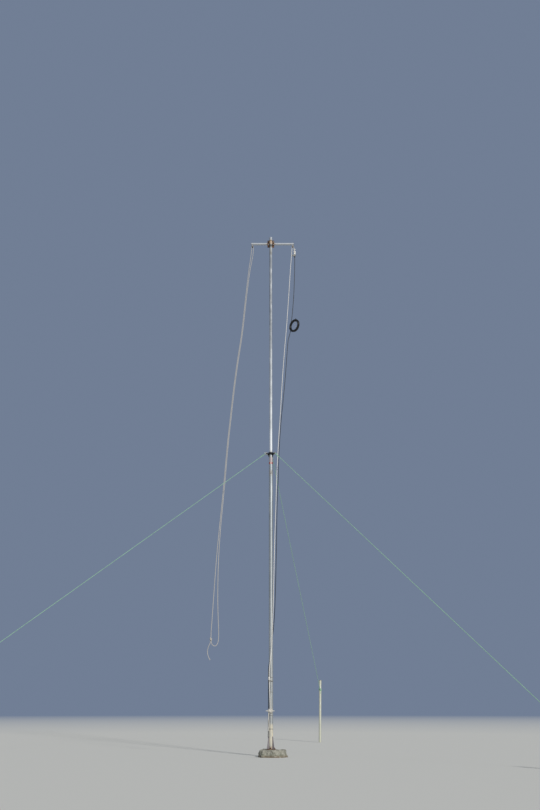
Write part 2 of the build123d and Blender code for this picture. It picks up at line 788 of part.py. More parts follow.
def make_shackle(side):
    """Shackle whose pin goes through the guy plate's hole."""
    out = direction(guy_azimuths[side])
    pin = out * guy_hole_circle + Vector(0, 0, lower_top + guy_plate_thickness / 2)
    up = Vector(0, 0, 1)
    thick = shackle_ear_thickness / 2
    half = shackle_bend + thick
    body = rod(pin - up * half, pin + up * half, guy_hole_radius - slip)
    for end in (-1, 1):
        leg = pin + up * (end * shackle_bend)
        body += rod(leg - up * thick, leg + up * thick, shackle_ear)
        tip = pin + up * (end * half)
        body += rod(tip, tip + up * (end * shackle_pin_head), guy_hole_radius + 1)
    plane = Plane(origin=pin + out * shackle_leg, x_dir=up, z_dir=out.cross(up))
    return body + plane * u_bolt(shackle_bend, shackle_leg, shackle_rod)


def make_guy(side):
    """Taut rope with an eye round the shackle's bend, a splice, and its run down to the post."""
    start, end, along = guy_line(side)
    grip = start + along * shackle_bend
    centre = grip + along * (guy_eye_radius - shackle_rod - slip - guy_rope_radius)
    across = direction(guy_azimuths[side] + 90)
    plane = Plane(origin=centre, x_dir=along, z_dir=along.cross(across))
    splice = centre + along * guy_eye_radius
    stop = end - along * (guy_rope_radius + slip)
    rope = plane * Torus(guy_eye_radius, guy_rope_radius)
    rope += rod(splice, splice + along * splice_length, splice_radius)
    return rope + rod(splice, stop, guy_rope_radius)


def make_guy_hitch(side):
    """Outer shape of the guy's turns round its post."""
    half = post_axis(side) * (hitch_pitch * (hitch_turns - 1) / 2 + guy_rope_radius)
    low = hitch_middle(side) - half
    top = hitch_middle(side) + half
    turns = rod(low, top, hitch_ring + guy_rope_radius)
    turns = chamfer(turns.edges().filter_by(GeomType.CIRCLE), guy_rope_radius * 0.6)
    return turns - rod(low, top, anchor_radius + slip)


def make_anchor_post(side):
    """Leaning pipe post, cut level with the ground."""
    axis = post_axis(side)
    top = hitch_middle(side) + axis * hitch_drop
    low = top - axis * (anchor_height[side] * 1.3)
    post = rod(low, top, anchor_radius) - rod(low, top, anchor_radius - anchor_wall)
    size = anchor_height[side]
    return post - Pos(low.X, low.Y, -size / 2) * Box(size * 2, size * 2, size)


def make_anchor_cap(side):
    """Flat cap on top of an anchor post."""
    axis = post_axis(side)
    top = hitch_middle(side) + axis * hitch_drop
    return rod(top, top + axis * anchor_cap_height, anchor_radius + anchor_cap_lip)


sides = list(guy_azimuths)
nodes = {
    "concrete_footing": make_footing(),
    "base_plate": make_base_plate(),
    "base_gussets": [make_gusset(guy_azimuths[side]) for side in sides],
    "anchor_studs": [make_stud(azimuth) for azimuth in stud_azimuths],
    "lower_tube": make_lower_tube(),
    "upper_tube": ring(upper_radius, upper_radius - upper_wall, upper_bottom, cap_seat),
    "joint_bolt": make_joint_bolt(),
    "red_band": make_red_band(),
    "mast_cap": make_mast_cap(),
    "guy_plate": make_guy_plate(),
    "lock_collar": make_lock_collar(),
    "crossarm": make_crossarm(),
    "crossarm_caps": [make_arm_cap(-arm_left, -1), make_arm_cap(arm_right, 1)],
    "clamp_plate": make_clamp_plate(),
    "mast_u_bolts": [make_mast_u_bolt(clamp_centre + end * mast_u_bolt_rise) for end in (-1, 1)],
    "arm_u_bolts": [make_arm_u_bolt(side * arm_u_bolt_side) for side in (-1, 1)],
    "pulley_straps": [make_pulley_strap(x) for x in (left_pulley_x, right_pulley_x)],
    "pulley_sheaves": [make_pulley_sheave(x) for x in (left_pulley_x, right_pulley_x)],
    "pulley_pins": [make_pulley_pin(x) for x in (left_pulley_x, right_pulley_x)],
    "pulley_bolts": [make_pulley_bolt(x) for x in (left_pulley_x, right_pulley_x)],
    "feed_insulator": make_feed_insulator(),
    "feed_knot": make_feed_knot(),
    "feed_body": make_feed_body(),
    "feed_terminals": [make_terminal(feed_body_left, -1), make_terminal(feed_body_right, 1)],
    "feed_gland": make_feed_gland(),
    "coax_upper": cord("coax_upper", coax_upper_route, cable_radius),
    "coax_coil": make_coax_coil(),
    "coax_lower": cord("coax_lower", coax_lower_route, cable_radius),
    "coax_ties": [make_tie(height) for height in tie_heights],
    "conduit_stub": make_conduit_stub(),
    "cleat": make_cleat(),
    "cleat_bolts": [make_cleat_bolt(end, side) for end in (-1, 1) for side in (-1, 1)],
    "halyard_hitch": make_halyard_hitch(),
    "tie_off_band": make_tie_off_band(),
    "tie_off_knot": make_tie_off_knot(),
    "right_halyard": cord("right_halyard", right_route, rope_radius),
    "halyard_tail": cord("halyard_tail", halyard_tail_route, rope_radius),
    "left_halyard_outer": cord("left_halyard_outer", left_outer_route, rope_radius),
    "left_halyard_inner": cord("left_halyard_inner", left_inner_route, rope_radius),
    "left_halyard_knot": knot(
        Vector(left_knot_x, 51, left_knot_bottom + left_knot_height), left_knot_radius, left_knot_height
    ),
    "left_halyard_tail": cord("left_halyard_tail", left_tail_route, rope_radius),
    "guy_shackles": [make_shackle(side) for side in sides],
    "guy_hitches": [make_guy_hitch(side) for side in sides],
    "anchor_caps": [make_anchor_cap(side) for side in sides],
}
for side in sides:
    nodes["guy_" + side] = make_guy(side)
    nodes["anchor_post_" + side] = make_anchor_post(side)

os.makedirs("parts", exist_ok=True)
for name, shape in nodes.items():
    solids = Compound(children=shape) if isinstance(shape, list) else shape
    export_step(solids, "parts/" + name + ".step")
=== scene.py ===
import json
import random
from math import atan2, cos, pi, radians, sin, sqrt, tan

import bmesh
import bpy
import numpy as np
from mathutils import Matrix, Vector, noise


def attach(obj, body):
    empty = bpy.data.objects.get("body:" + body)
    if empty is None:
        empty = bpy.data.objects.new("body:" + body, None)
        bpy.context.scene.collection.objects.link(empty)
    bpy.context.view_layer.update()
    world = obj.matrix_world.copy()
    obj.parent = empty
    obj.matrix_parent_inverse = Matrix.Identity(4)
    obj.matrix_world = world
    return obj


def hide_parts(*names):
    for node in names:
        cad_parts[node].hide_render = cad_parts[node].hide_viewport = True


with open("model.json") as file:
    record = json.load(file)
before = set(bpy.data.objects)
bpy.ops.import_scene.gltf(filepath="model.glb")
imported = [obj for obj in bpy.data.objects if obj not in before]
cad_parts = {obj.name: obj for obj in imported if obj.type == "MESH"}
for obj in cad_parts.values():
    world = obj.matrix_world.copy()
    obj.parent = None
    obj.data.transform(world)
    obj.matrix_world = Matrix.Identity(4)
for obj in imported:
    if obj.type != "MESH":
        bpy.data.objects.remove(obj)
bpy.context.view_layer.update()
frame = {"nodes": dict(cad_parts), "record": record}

# Guyed pipe mast with a crossarm. Metres, +Z up, seen along +Y. Azimuths are clockwise from +Y.
nodes = frame["nodes"]

# Sizes shared with the solids
UP = Vector((0, 0, 1))
BACK = Vector((0, 1, 0))
ARM_Y = 0.05135
ARM_HEIGHT = 8.296
LOWER_RADIUS = 0.03015
UPPER_RADIUS = 0.02415
PLATE_TOP = 0.11
PLATE_RADIUS = 0.064
STUD_CIRCLE = 0.05
LOWER_TOP = 4.48
GUSSET_REACH = (0.03025, 0.06025)
GUSSET_TOP = 0.275
WEB_REACH = (0.03025, 0.05625)
WEB_BOTTOM = 4.428
HALF_WEB = 0.004
JOINT_BOLT_HEIGHT = 4.1749
GUY_AZIMUTHS = {"back": 10.5, "right": 130.5, "left": 250.5}
GUY_REACH = {"back": 5.6, "right": 4.51, "left": 5.29}
GUY_TIE_HEIGHT = {"back": 1.0, "right": 0.375, "left": 0.375}
GUY_START = (0.09, 4.485)
GUY_EYE_PLACE = 0.0187
GUY_EYE = 0.013
POST_LEAN = 10.0
HITCH_RING = 0.02845
HITCH_PITCH = 0.0076
CLAMP_FRONT, CLAMP_BACK = UPPER_RADIUS, UPPER_RADIUS + 0.006
MAST_BOLTS = [(x, z) for x in (-0.02825, 0.02825) for z in (8.232, 8.332)]
ARM_BOLTS = [(x, z) for x in (-0.043, 0.043) for z in (8.2707, 8.3213)]
PULLEYS = (-0.318, 0.384)
CLEAT_AZIMUTH = 192.0
CLEAT_HEIGHT = 0.622
CLEAT_SEAT = 0.0445
CLEAT_BOLTS = [(side, up) for side in (-0.013, 0.013) for up in (-0.026, 0.026)]
HORN_FRONT = 0.07
TIE_OFF_HEIGHT = 1.034
TIE_OFF_AZIMUTH = 150
TIE_HEIGHTS = (1.085, 0.88, 0.56, 0.375)
BAND = (4.314, 4.35)
CONDUIT = (-0.013, 0.091, 0.016)
FEED_EYE = (0.414, ARM_Y, 8.1569)
ROPE = 0.005
GUY_ROPE = 0.004
CABLE = 0.005

# Bolt ends: washer's radius and thickness, thread's start and end past the seat, radius, pitch and depth
STUD_END = (0.015, 0.0024, 0.0098, 0.0182, 0.006, 0.00175, 0.00045)
U_BOLT_END = (0.0086, 0.0014, 0.0066, 0.0118, 0.004, 0.00125, 0.0004)
JOINT_BOLT_END = (0.012, 0.0018, 0.0065, 0.0118, 0.005, 0.0015, 0.0004)

# Pulleys: seat, thread and washer of the bolt, half length, height and washer of the pin
PULLEY_BOLT_SEAT = ARM_HEIGHT + 0.0209
PULLEY_THREAD = (8.2669, 8.2645)
PULLEY_WASHER = (0.0088, 0.0014)
PIN_REACH, PIN_HEIGHT = 0.0103, 8.2408
PIN_WASHER = (0.0072, 0.0008)

# Small pieces: size across and thickness of each, and the radius of weld beads
CLEAT_WASHER = (0.0066, 0.001)
CLEAT_BOLT_SEAT = LOWER_RADIUS + 0.0079
TIE_HEAD = (0.01, 0.0055)
TIE_TAIL = (0.0068, 0.0014)
SCREW_HOUSING = (0.015, 0.006)
TAPE = (0.019, 0.00024)
GUSSET_BEAD, WEB_BEAD, RING_BEAD = 0.0026, 0.0022, 0.003
WELD_STEP = 0.0011
BEVEL = 0.0004
STRANDS = 3
ROPE_LAY = 6.4

# Where the pipes' looks change: distance of the posts from the mast, and heights of the crossarm
POSTS_REACH = (1.5, 2.5)
ARM_HEIGHTS = (8.27, 8.32)

# Camera and light
CAMERA_PLACE = (-0.014, -13.4, 0.689)
CAMERA_PITCH = 19.04
CAMERA_LENS = 38.76
BACKDROP = (0.165, 0.21, 0.3)
FLOOR_COLOUR = (0.66, 0.67, 0.66)
FLOOR_FADE = (12.0, 60.0)
SKY_LIGHT = (0.9, 0.95, 1.0)
SKY_STRENGTH = 0.34
SUN_COLOUR = (1.0, 0.96, 0.9)
SUN_STRENGTH = 2.5
SUN_WIDTH = 6
SUN_FROM = (0.42, -0.8, 0.5)

dice = random.Random(11)


def direction(azimuth):
    """Horizontal unit vector at an azimuth."""
    angle = radians(azimuth)
    return Vector((sin(angle), cos(angle), 0))


def ring_point(azimuth, radius, height):
    """Point round the mast's axis."""
    return direction(azimuth) * radius + UP * height


def add_object(name, data):
    """A new object in the scene."""
    made = bpy.data.objects.new(name, data)
    bpy.context.scene.collection.objects.link(made)
    return made


def tint(code, dim=1.0):
    """Linear colour of a plain hex colour, dimmed to a share of itself."""
    values = [int(code[i:i + 2], 16) / 255 for i in (1, 3, 5)]
    linear = [v / 12.92 if v < 0.04045 else ((v + 0.055) / 1.055) ** 2.4 for v in values]
    return (*(v * dim for v in linear), 1.0)


# Materials
class Graph:
    """A node tree in the making."""

    def __init__(self, tree):
        self.tree = tree

    def put(self, value, target):
        """Joins a socket to a target, or gives the target a plain value."""
        if hasattr(value, "is_output"):
            self.tree.links.new(value, target)
        else:
            target.default_value = value

    def node(self, kind, inputs=None, **settings):
        """New node with its settings and inputs."""
        made = self.tree.nodes.new(kind)
        for key, value in settings.items():
            setattr(made, key, value)
        for key, value in (inputs or {}).items():
            self.put(value, made.inputs[key])
        return made

    def math(self, operation, one, two):
        return self.node("ShaderNodeMath", {0: one, 1: two}, operation=operation).outputs[0]

    def blend(self, share, one, two, output):
        """Two shaders blended into the tree's output."""
        made = self.node("ShaderNodeMixShader", {0: share, 1: one.outputs[0], 2: two.outputs[0]})
        self.put(made.outputs[0], self.tree.nodes[output].inputs[0])


class Paint(Graph):
    """A procedural material in the making."""

    def __init__(self, name, roughness=0.6, metallic=0.0, coords="Object"):
        self.name = name
        self.material = bpy.data.materials.new(name)
        self.material.use_nodes = True
        super().__init__(self.material.node_tree)
        self.shader = self.tree.nodes["Principled BSDF"]
        self.set("Roughness", roughness)
        self.set("Metallic", metallic)
        self.coords = self.node("ShaderNodeTexCoord").outputs[coords]

    def set(self, name, value):
        """Gives an input of the shader a socket or a plain value."""
        self.put(value, self.shader.inputs[name])

    def texture(self, kind, scale, **inputs):
        """Texture at a scale, one number or one for each axis."""
        scale = scale if hasattr(scale, "__len__") else (scale,) * 3
        mapping = self.node("ShaderNodeMapping", {"Vector": self.coords, "Scale": scale})
        return self.node(kind, {"Vector": mapping.outputs[0], "Scale": 1.0, **inputs})

    def noise(self, scale, detail, rough=0.55):
        return self.texture("ShaderNodeTexNoise", scale, Detail=detail, Roughness=rough).outputs["Fac"]

    def cells(self, scale):
        """Grains, each with a tone of its own."""
        return self.texture("ShaderNodeTexVoronoi", scale).outputs["Color"]

    def levels(self, value, low, high, to_low=0.0, to_high=1.0):
        """A value stretched from one range to another and held inside it."""
        inputs = {"Value": value, "From Min": low, "From Max": high, "To Min": to_low, "To Max": to_high}
        return self.node("ShaderNodeMapRange", inputs, clamp=True).outputs[0]

    def patches(self, scale, low, high, detail=6, rough=0.55):
        """1 where a noise is high and 0 where it is low."""
        return self.levels(self.noise(scale, detail, rough), low, high)

    def times(self, one, two):
        return self.math("MULTIPLY", one, two)

    def rest(self, mask, share=1.0):
        """1 outside a mask, and less by a share inside it."""
        return self.levels(mask, 0.0, 1.0, 1.0, 1.0 - share)

    def axis(self, name):
        return self.node("ShaderNodeSeparateXYZ", {0: self.coords}).outputs[name]

    def below(self, low, high):
        """1 below one height and 0 above another."""
        return self.levels(self.axis("Z"), low, high, 1.0, 0.0)

    def window(self, low, high, soft):
        """1 between two heights, fading to 0 outside them."""
        return self.times(self.levels(self.axis("Z"), low - soft, low), self.below(high, high + soft))

    def away(self, near, far):
        """0 close to the mast's axis and 1 far from it."""
        flat = self.node("ShaderNodeVectorMath", {0: self.coords, 1: (1, 1, 0)}, operation="MULTIPLY")
        length = self.node("ShaderNodeVectorMath", {0: flat.outputs[0]}, operation="LENGTH")
        return self.levels(length.outputs["Value"], near, far)

    def mix(self, share, under, over):
        """One colour over another."""
        return self.node("ShaderNodeMix", {0: share, 6: under, 7: over}, data_type="RGBA").outputs[2]

    def tones(self, value, low, high, first, second, dim=1.0):
        """Starts the colour: one tone to another, which may be dimmed, as a value rises."""
        self.body = self.mix(self.levels(value, low, high), tint(first), tint(second, dim))

    def over(self, mask, colour, share=1.0, dim=1.0):
        """Lays another colour over what is there, where the mask is."""
        self.body = self.mix(self.times(mask, share), self.body, tint(colour, dim))

    def rough(self, value, low, high):
        self.set("Roughness", self.levels(value, 0.25, 0.75, low, high))

    def bump(self, value, distance, strength):
        inputs = {"Height": value, "Distance": distance, "Strength": strength}
        self.set("Normal", self.node("ShaderNodeBump", inputs).outputs[0])

    def done(self):
        """The slot's name and its material, with the colour joined on."""
        self.set("Base Color", self.body)
        return self.name, self.material


def mottled(name, cloud, spread, tones, roughness, grain=(900, 2, 0.0001, 0.4), metallic=0.0):
    """Paint whose tone and roughness follow one cloudy noise, with a fine grain."""
    paint = Paint(name, metallic=metallic)
    paint.cloud = paint.noise(*cloud)
    paint.tones(paint.cloud, *spread, *tones)
    paint.rough(paint.cloud, *roughness)
    if grain:
        scale, detail, distance, strength = grain
        paint.bump(paint.noise(scale, detail), distance, strength)
    return paint


def galvanised(name, pale, dark, stains_and_shade, metallic, roughness):
    """Galvanised pipe: spangle, streaks, chalk, stains and painted shade at stated heights, and paint on
    the posts.
    """
    paint = Paint(name)
    spangle = paint.levels(paint.cells((75, 75, 60)), 0.2, 0.8)
    streaks = paint.noise((60, 60, 1.6), 5)
    paint.tones(streaks, 0.35, 0.65, pale, dark)
    paint.over(spangle, "#e4e8ea", 0.2)
    chalk = paint.patches((9, 9, 2.2), 0.54, 0.7)
    paint.over(chalk, "#e6e6e1", 0.4)
    breaks = paint.patches((26, 26, 9), 0.36, 0.6)
    away = paint.away(0.05, 0.095)
    on_mast = paint.times(paint.rest(away), paint.levels(breaks, 0.0, 1.0, 0.45, 1.0))
    shine = paint.levels(chalk, 0.0, 1.0, metallic, metallic * 0.55)
    for low, high, soft, colour, share, dull in stains_and_shade:
        patch = paint.times(paint.window(low, high, soft), on_mast)
        paint.over(patch, colour, share)
        shine = paint.times(shine, paint.rest(patch, dull))
    paint.over(paint.times(paint.window(*ARM_HEIGHTS, 0.01), away), "#7b818a", 0.46)
    posts = paint.times(paint.away(*POSTS_REACH), paint.levels(breaks, 0.0, 0.5, 0.6, 0.9))
    paint.over(posts, "#babcaa")
    paint.over(paint.patches((48, 48, 20), 0.68, 0.76, 7), "#7b5a42", 0.5)
    paint.rough(streaks, *roughness)
    paint.set("Metallic", paint.times(shine, paint.rest(posts)))
    fine = paint.noise((240, 240, 120), 3)
    paint.bump(paint.math("ADD", fine, paint.times(spangle, 0.5)), 0.0003, 0.5)
    return paint.done()


def rusty():
    """Rusted steel gone dark, with orange bloom in places and some old zinc left."""
    paint = Paint("rusty_steel", metallic=0.15)
    fine = paint.noise(420, 6, 0.7)
    paint.tones(fine, 0.3, 0.7, "#2b1d16", "#5b3c28")
    paint.over(paint.patches(42, 0.5, 0.66), "#a8784c")
    paint.over(paint.patches(38, 0.62, 0.74, 7), "#77756f")
    paint.rough(fine, 0.62, 0.92)
    paint.bump(fine, 0.0006, 0.8)
    return paint.done()


def painted(name, colour, worn, wear):
    """Paint over steel, chipped through to rust."""
    paint = Paint(name)
    broad = paint.noise(15, 4)
    paint.tones(broad, 0.3, 0.7, colour, colour, 0.72)
    chips = paint.patches(144, wear, wear + 0.05, 7, 0.65)
    paint.over(chips, worn)
    paint.rough(broad, 0.38, 0.62)
    paint.bump(chips, -0.0003, 0.6)
    return paint.done()


def plated():
    """Zinc-plated small steel, dull and rusty in places, with painted shade on the pieces just under the
    crossarm.
    """
    paint = mottled("zinc", (130, 5), (0.35, 0.68), ("#bfc0bc", "#8c8981"), (0.3, 0.55), metallic=0.6)
    paint.over(paint.patches(210, 0.62, 0.72), "#7d5232", 0.8)
    # Painted shade: zinc pieces between these heights, under the crossarm, darkened
    paint.over(paint.window(8.205, 8.262, 0.004), "#4f4339", 0.75)
    return paint.done()


def plastic(name, colour, dusty):
    """Moulded plastic with dust in its grain."""
    return mottled(name, (70, 5), (0.35, 0.75), (colour, dusty), (0.42, 0.6), (900, 2, 0.00012, 0.5))


def black_plastic():
    """Black plastic, bleached on the ties low on the mast and on the posts' caps."""
    paint = plastic("black_plastic", "#1b1c1d", "#3b3b39")
    paint.over(paint.window(0.3, 1.15, 0.05), "#8b8d8c", 0.8)
    paint.over(paint.away(*POSTS_REACH), "#a6a796", 0.8)
    return paint.done()


def tape_with_painted_highlight():
    """Red tape with a painted highlight: pale pink on the side that faces the camera."""
    paint = mottled("red_tape", (90, 5), (0.35, 0.75), ("#86302e", "#a04c46"), (0.22, 0.38))
    # Painted highlight: pale pink laid on the tape's front, towards the camera
    painted_highlight = paint.levels(paint.axis("Y"), -0.0312, -0.0245, 0.92, 0.0)
    paint.over(paint.times(painted_highlight, paint.levels(paint.cloud, 0.2, 0.5)), "#dab6b2")
    return paint.done()


def concrete():
    """Rough hand-laid concrete: grit, pale stones, moss, soil, and rust round the foot plate."""
    paint = Paint("concrete", roughness=0.93)
    grains = paint.noise(330, 8, 0.7)
    paint.tones(paint.noise(19, 6), 0.34, 0.66, "#a9a89d", "#7a7a70")
    paint.over(paint.levels(grains, 0.45, 0.7), "#56554f", 0.55)
    paint.over(paint.levels(paint.cells(85), 0.62, 0.95), "#cbccc8", 0.4)
    paint.over(paint.times(paint.below(0.01, 0.095), paint.patches(38, 0.36, 0.6, 7)), "#636b58", 0.55)
    paint.over(paint.times(paint.below(0.0, 0.035), paint.patches(55, 0.3, 0.6)), "#6f573e")
    near_plate = paint.rest(paint.away(0.066, 0.12))
    paint.over(paint.times(near_plate, paint.patches(30, 0.42, 0.66)), "#8a5c3c", 0.55)
    paint.bump(paint.math("ADD", grains, paint.times(paint.noise(90, 4), 1.6)), 0.0018, 0.8)
    return paint.done()


def rope_fibre(name, clean, grey, dirt_top, weathered=0.0):
    """Twisted fibre with dirt low down and weathering on the left ropes."""
    paint = Paint(name, roughness=0.78, coords="UV")
    fibres = paint.noise((6, 9, 1), 4, 0.7)
    paint.tones(fibres, 0.3, 0.7, clean, grey)
    paint.coords = paint.node("ShaderNodeTexCoord").outputs["Object"]
    paint.over(paint.levels(paint.axis("X"), -0.29, -0.24, 1.0, 0.0), "#8b867d", weathered)
    lowest = paint.levels(paint.axis("Z"), 0.2, dirt_top, 0.8, 0.3)
    paint.over(paint.times(lowest, paint.patches((30, 30, 5), 0.45, 0.75, 5)), grey, dim=0.45)
    paint.bump(fibres, 0.0004, 0.7)
    paint.set("Sheen Weight", 0.25)
    return paint.done()


def glaze():
    """White glazed insulator, grimy in places."""
    tones = ("#efede6", "#b3a995")
    grain = (260, 3, 0.0002, 0.3)
    paint = mottled("white_insulator", ((110, 110, 60), 6), (0.5, 0.8), tones, (0.16, 0.42), grain)
    paint.set("Coat Weight", 0.6)
    paint.set("Coat Roughness", 0.12)
    return paint.done()


# Stains on the pipes, and painted shade under the crossarm on the upper pipe: lowest and highest place,
# softness, colour, share, and how far they dull the shine
UPPER_STAINS_AND_SHADE = [
    (5.4, 8.05, 0.6, "#8e959d", 0.7, 0.3),
    (6.6, 8.04, 0.5, "#747b85", 0.7, 0.3),
    (4.93, 5.12, 0.08, "#9aa1a6", 0.4, 0),
    (4.508, 4.53, 0.02, "#6f6a60", 0.4, 0.5),
    (8.06, 8.198, 0.03, "#7c7a72", 0.55, 0.5),
    # Painted shade: the mast just under the crossarm and its clamp, darkened in two layers
    (8.196, 8.262, 0.01, "#57534c", 0.92, 0.9),
    (8.204, 8.25, 0.012, "#45423d", 0.92, 0.9),
    (8.345, 8.402, 0.008, "#8d949e", 0.6, 0.3),
    (8.268, 8.34, 0.008, "#b08a58", 0.9, 0.9),
]
LOWER_STAINS = [
    (0.118, 0.43, 0.03, "#e2d8be", 0.92, 0.9),
    (0.11, 0.132, 0.022, "#8a5f42", 0.75, 0.9),
    (0.45, 1.28, 0.16, "#a3a4a2", 0.5, 0.3),
    (4.352, 4.42, 0.03, "#b79f9f", 0.55, 0.5),
    (4.165, 4.185, 0.06, "#86705f", 0.5, 0.5),
    (2.3, 3.4, 0.5, "#8f9698", 0.35, 0.1),
]
materials = dict([
    concrete(),
    rusty(),
    painted("grey_paint", "#8f8a90", "#7a5640", 0.64),
    painted("black_paint", "#1c1d1f", "#54443a", 0.68),
    galvanised("grey_galvanised", "#c2c7c8", "#979fa2", LOWER_STAINS, 0.72, (0.36, 0.52)),
    galvanised("bright_galvanised", "#f0f3f5", "#cdd3d8", UPPER_STAINS_AND_SHADE, 0.5, (0.44, 0.58)),
    plated(),
    tape_with_painted_highlight(),
    black_plastic(),
    plastic("grey_plastic", "#8b8e8f", "#a6a49c").done(),
    glaze(),
    mottled("brass", (300, 5), (0.35, 0.7), ("#b8934e", "#6b5a35"), (0.3, 0.55), None, 0.9).done(),
    mottled("cable_jacket", ((40, 40, 12), 6), (0.4, 0.8), ("#141516", "#3a3a38"), (0.32, 0.55),
            (700, 2, 0.0001, 0.4)).done(),
    rope_fibre("white_rope", "#f5f4f1", "#dedbd5", 2.4, weathered=0.54),
    rope_fibre("green_rope", "#acd8b7", "#7fb894", 1.5),
    mottled("cleat_metal", (120, 5), (0.35, 0.7), ("#f0ede4", "#cbc7bb"), (0.28, 0.5),
            (520, 3, 0.0002, 0.6), 0.15).done(),
])
for part in frame["record"]["subparts"]:
    mesh = nodes[part["node"]].data
    mesh.materials.clear()
    mesh.materials.append(materials[part["material_slot"]])


# Geometry helpers
def as_array(line):
    """A line's points as rows of numbers."""
    return np.array([tuple(point) for point in line], float)


def along(points):
    """Length along a line at each of its points."""
    steps = np.linalg.norm(np.diff(points, axis=0), axis=1)
    return np.concatenate([[0.0], np.cumsum(steps)])


def resample(points, step):
    """The same line with evenly spaced points."""
    places = along(points)
    wanted = np.linspace(0, places[-1], max(2, int(round(places[-1] / step)) + 1))
    return np.stack([np.interp(wanted, places, points[:, axis]) for axis in range(3)], axis=1)


def frames_along(points, closed=False):
    """Two steady normals at each point of a line."""
    if closed:
        tangents = np.roll(points, -1, axis=0) - np.roll(points, 1, axis=0)
    else:
        tangents = np.gradient(points, axis=0)
    tangents /= np.linalg.norm(tangents, axis=1)[:, None]
    helper = np.eye(3)[np.argmin(np.abs(tangents[0]))]
    normals = np.empty_like(points)
    normal = np.cross(tangents[0], helper)
    for index, tangent in enumerate(tangents):
        normal = normal - tangent * normal.dot(tangent)
        normal /= sqrt(normal.dot(normal))
        normals[index] = normal
    return normals, np.cross(tangents, normals)


class Shape:
    """Many swept bars, bands and tubes gathered into one mesh."""

    def __init__(self):
        self.points, self.faces, self.uv, self.count = [], [], [], 0

    def rings(self, rings, places, closed=False):
        """Skin over a row of rings of points. Open rows get flat ends."""
        rows, sides = rings.shape[:2]
        start = self.count
        side = np.arange(sides)
        ahead = (side + 1) % sides
        steps = np.arange(rows if closed else rows - 1)[:, None]
        here = start + steps * sides
        there = start + ((steps + 1) % rows) * sides
        skin = np.stack([here + side, here + ahead, there + ahead, there + side], axis=2)
        self.faces += skin.reshape(-1, 4).tolist()
        self.points.append(rings.reshape(-1, 3))
        around = np.tile(side / sides, rows)
        self.uv.append(np.stack([np.repeat(places * 100, sides), around], axis=1))
        self.count += rows * sides
        if not closed:
            self.faces.append(list(range(start + sides - 1, start - 1, -1)))
            self.faces.append(list(range(self.count - sides, self.count)))
        return self

    def tube(self, line, radius, sides, closed=False):
        """Tube along a line. radius is one number or one for each point."""
        line = as_array(line)
        one, two = frames_along(line, closed)
        radius = np.broadcast_to(radius, len(line))[:, None, None]
        turns = (np.arange(sides) * (2 * pi / sides))[None, :, None]
        spokes = one[:, None, :] * np.cos(turns) + two[:, None, :] * np.sin(turns)
        return self.rings(line[:, None, :] + spokes * radius, along(line), closed)

    def strip(self, line, width, thick):
        """Flat upright band along a line."""
        line = as_array(line)
        wide = np.array(UP) * (width / 2)
        out = np.cross(np.gradient(line, axis=0), wide)
        out *= thick / 2 / np.linalg.norm(out, axis=1)[:, None]
        corners = [line + wide * w + out * t for w, t in ((1, 1), (-1, 1), (-1, -1), (1, -1))]
        return self.rings(np.stack(corners, axis=1), along(line))

    def rope(self, line, radius, steps=9, sides=6):
        """Twisted rope: strands wound round a line, with so many steps in each turn."""
        lay = radius * ROPE_LAY
        line = resample(as_array(line), lay / steps)
        one, two = frames_along(line)
        places = along(line)
        for index in range(STRANDS):
            turn = (places * (2 * pi / lay) + index * 2 * pi / STRANDS)[:, None]
            offset = one * np.cos(turn) + two * np.sin(turn)
            self.tube(line + offset * (radius * 0.52), radius * 0.5, sides)
        return self

    def disc(self, start, axis, radius, thick, sides=24):
        """Washer or other flat round piece with bevelled edges."""
        start, axis = Vector(start), Vector(axis).normalized()
        line = [start + axis * rise for rise in (0, BEVEL, thick - BEVEL, thick)]
        return self.tube(line, [radius - BEVEL, radius, radius, radius - BEVEL], sides)

    def thread(self, start, end, radius, pitch, depth):
        """Threaded stretch of a bolt, as ridges just outside it, with a bevelled tip."""
        start, end = Vector(start), Vector(end)
        count = max(2, int((end - start).length / (pitch / 2)))
        line = [start.lerp(end, index / count) for index in range(count + 1)]
        radii = [radius + depth * (index % 2) for index in range(count)] + [radius * 0.86]
        return self.tube(line, radii, 16)

    def bolt_end(self, seat, out, washer, thick, start, end, radius, pitch, depth):
        """Washer under a nut, and the thread that stands out of the nut."""
        seat = Vector(seat)
        self.disc(seat, out, washer, thick)
        self.thread(seat + out * start, seat + out * end, radius, pitch, depth)

    def weld(self, line, radius):
        """Bead of weld with its ripples."""
        line = resample(as_array(line), WELD_STEP)
        places = along(line) * (2 * pi)
        swell = 1 + 0.14 * np.sin(places / 0.0036) + 0.12 * np.sin(places / 0.023)
        return self.tube(line, radius * swell, 8)

    def make(self, name, slot, replaced=(), sharp=None):
        """The gathered mesh as one piece. sharp is the angle past which an edge is hard."""
        mesh = bpy.data.meshes.new(name)
        mesh.from_pydata(np.concatenate(self.points).tolist(), [], self.faces)
        layer = mesh.uv_layers.new(name="UVMap")
        corners = np.empty(len(mesh.loops), np.int32)
        mesh.loops.foreach_get("vertex_index", corners)
        layer.data.foreach_set("uv", np.concatenate(self.uv)[corners].astype(np.float32).ravel())
        mesh.shade_smooth()
        if sharp:
            mesh.set_sharp_from_angle(angle=radians(sharp))
        return place(add_object(name, mesh), slot, replaced)


def place(piece, slot, replaced=()):
    """Gives a piece its material, rides it on the mast and hides the parts it replaces."""
    piece.data.materials.append(materials[slot])
    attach(piece, "root")
    if replaced:
        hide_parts(*replaced)
    return piece


def spline_curve(name, points):
    """Smooth open curve with those control points."""
    data = bpy.data.curves.new(name, "CURVE")
    data.dimensions = "3D"
    data.resolution_u = 10
    spline = data.splines.new("NURBS")
    spline.points.add(len(points) - 1)
    for target, point in zip(spline.points, points):
        target.co = (*point, 1.0)
    spline.order_u = 3
    spline.use_endpoint_u = True
    return add_object(name, data)


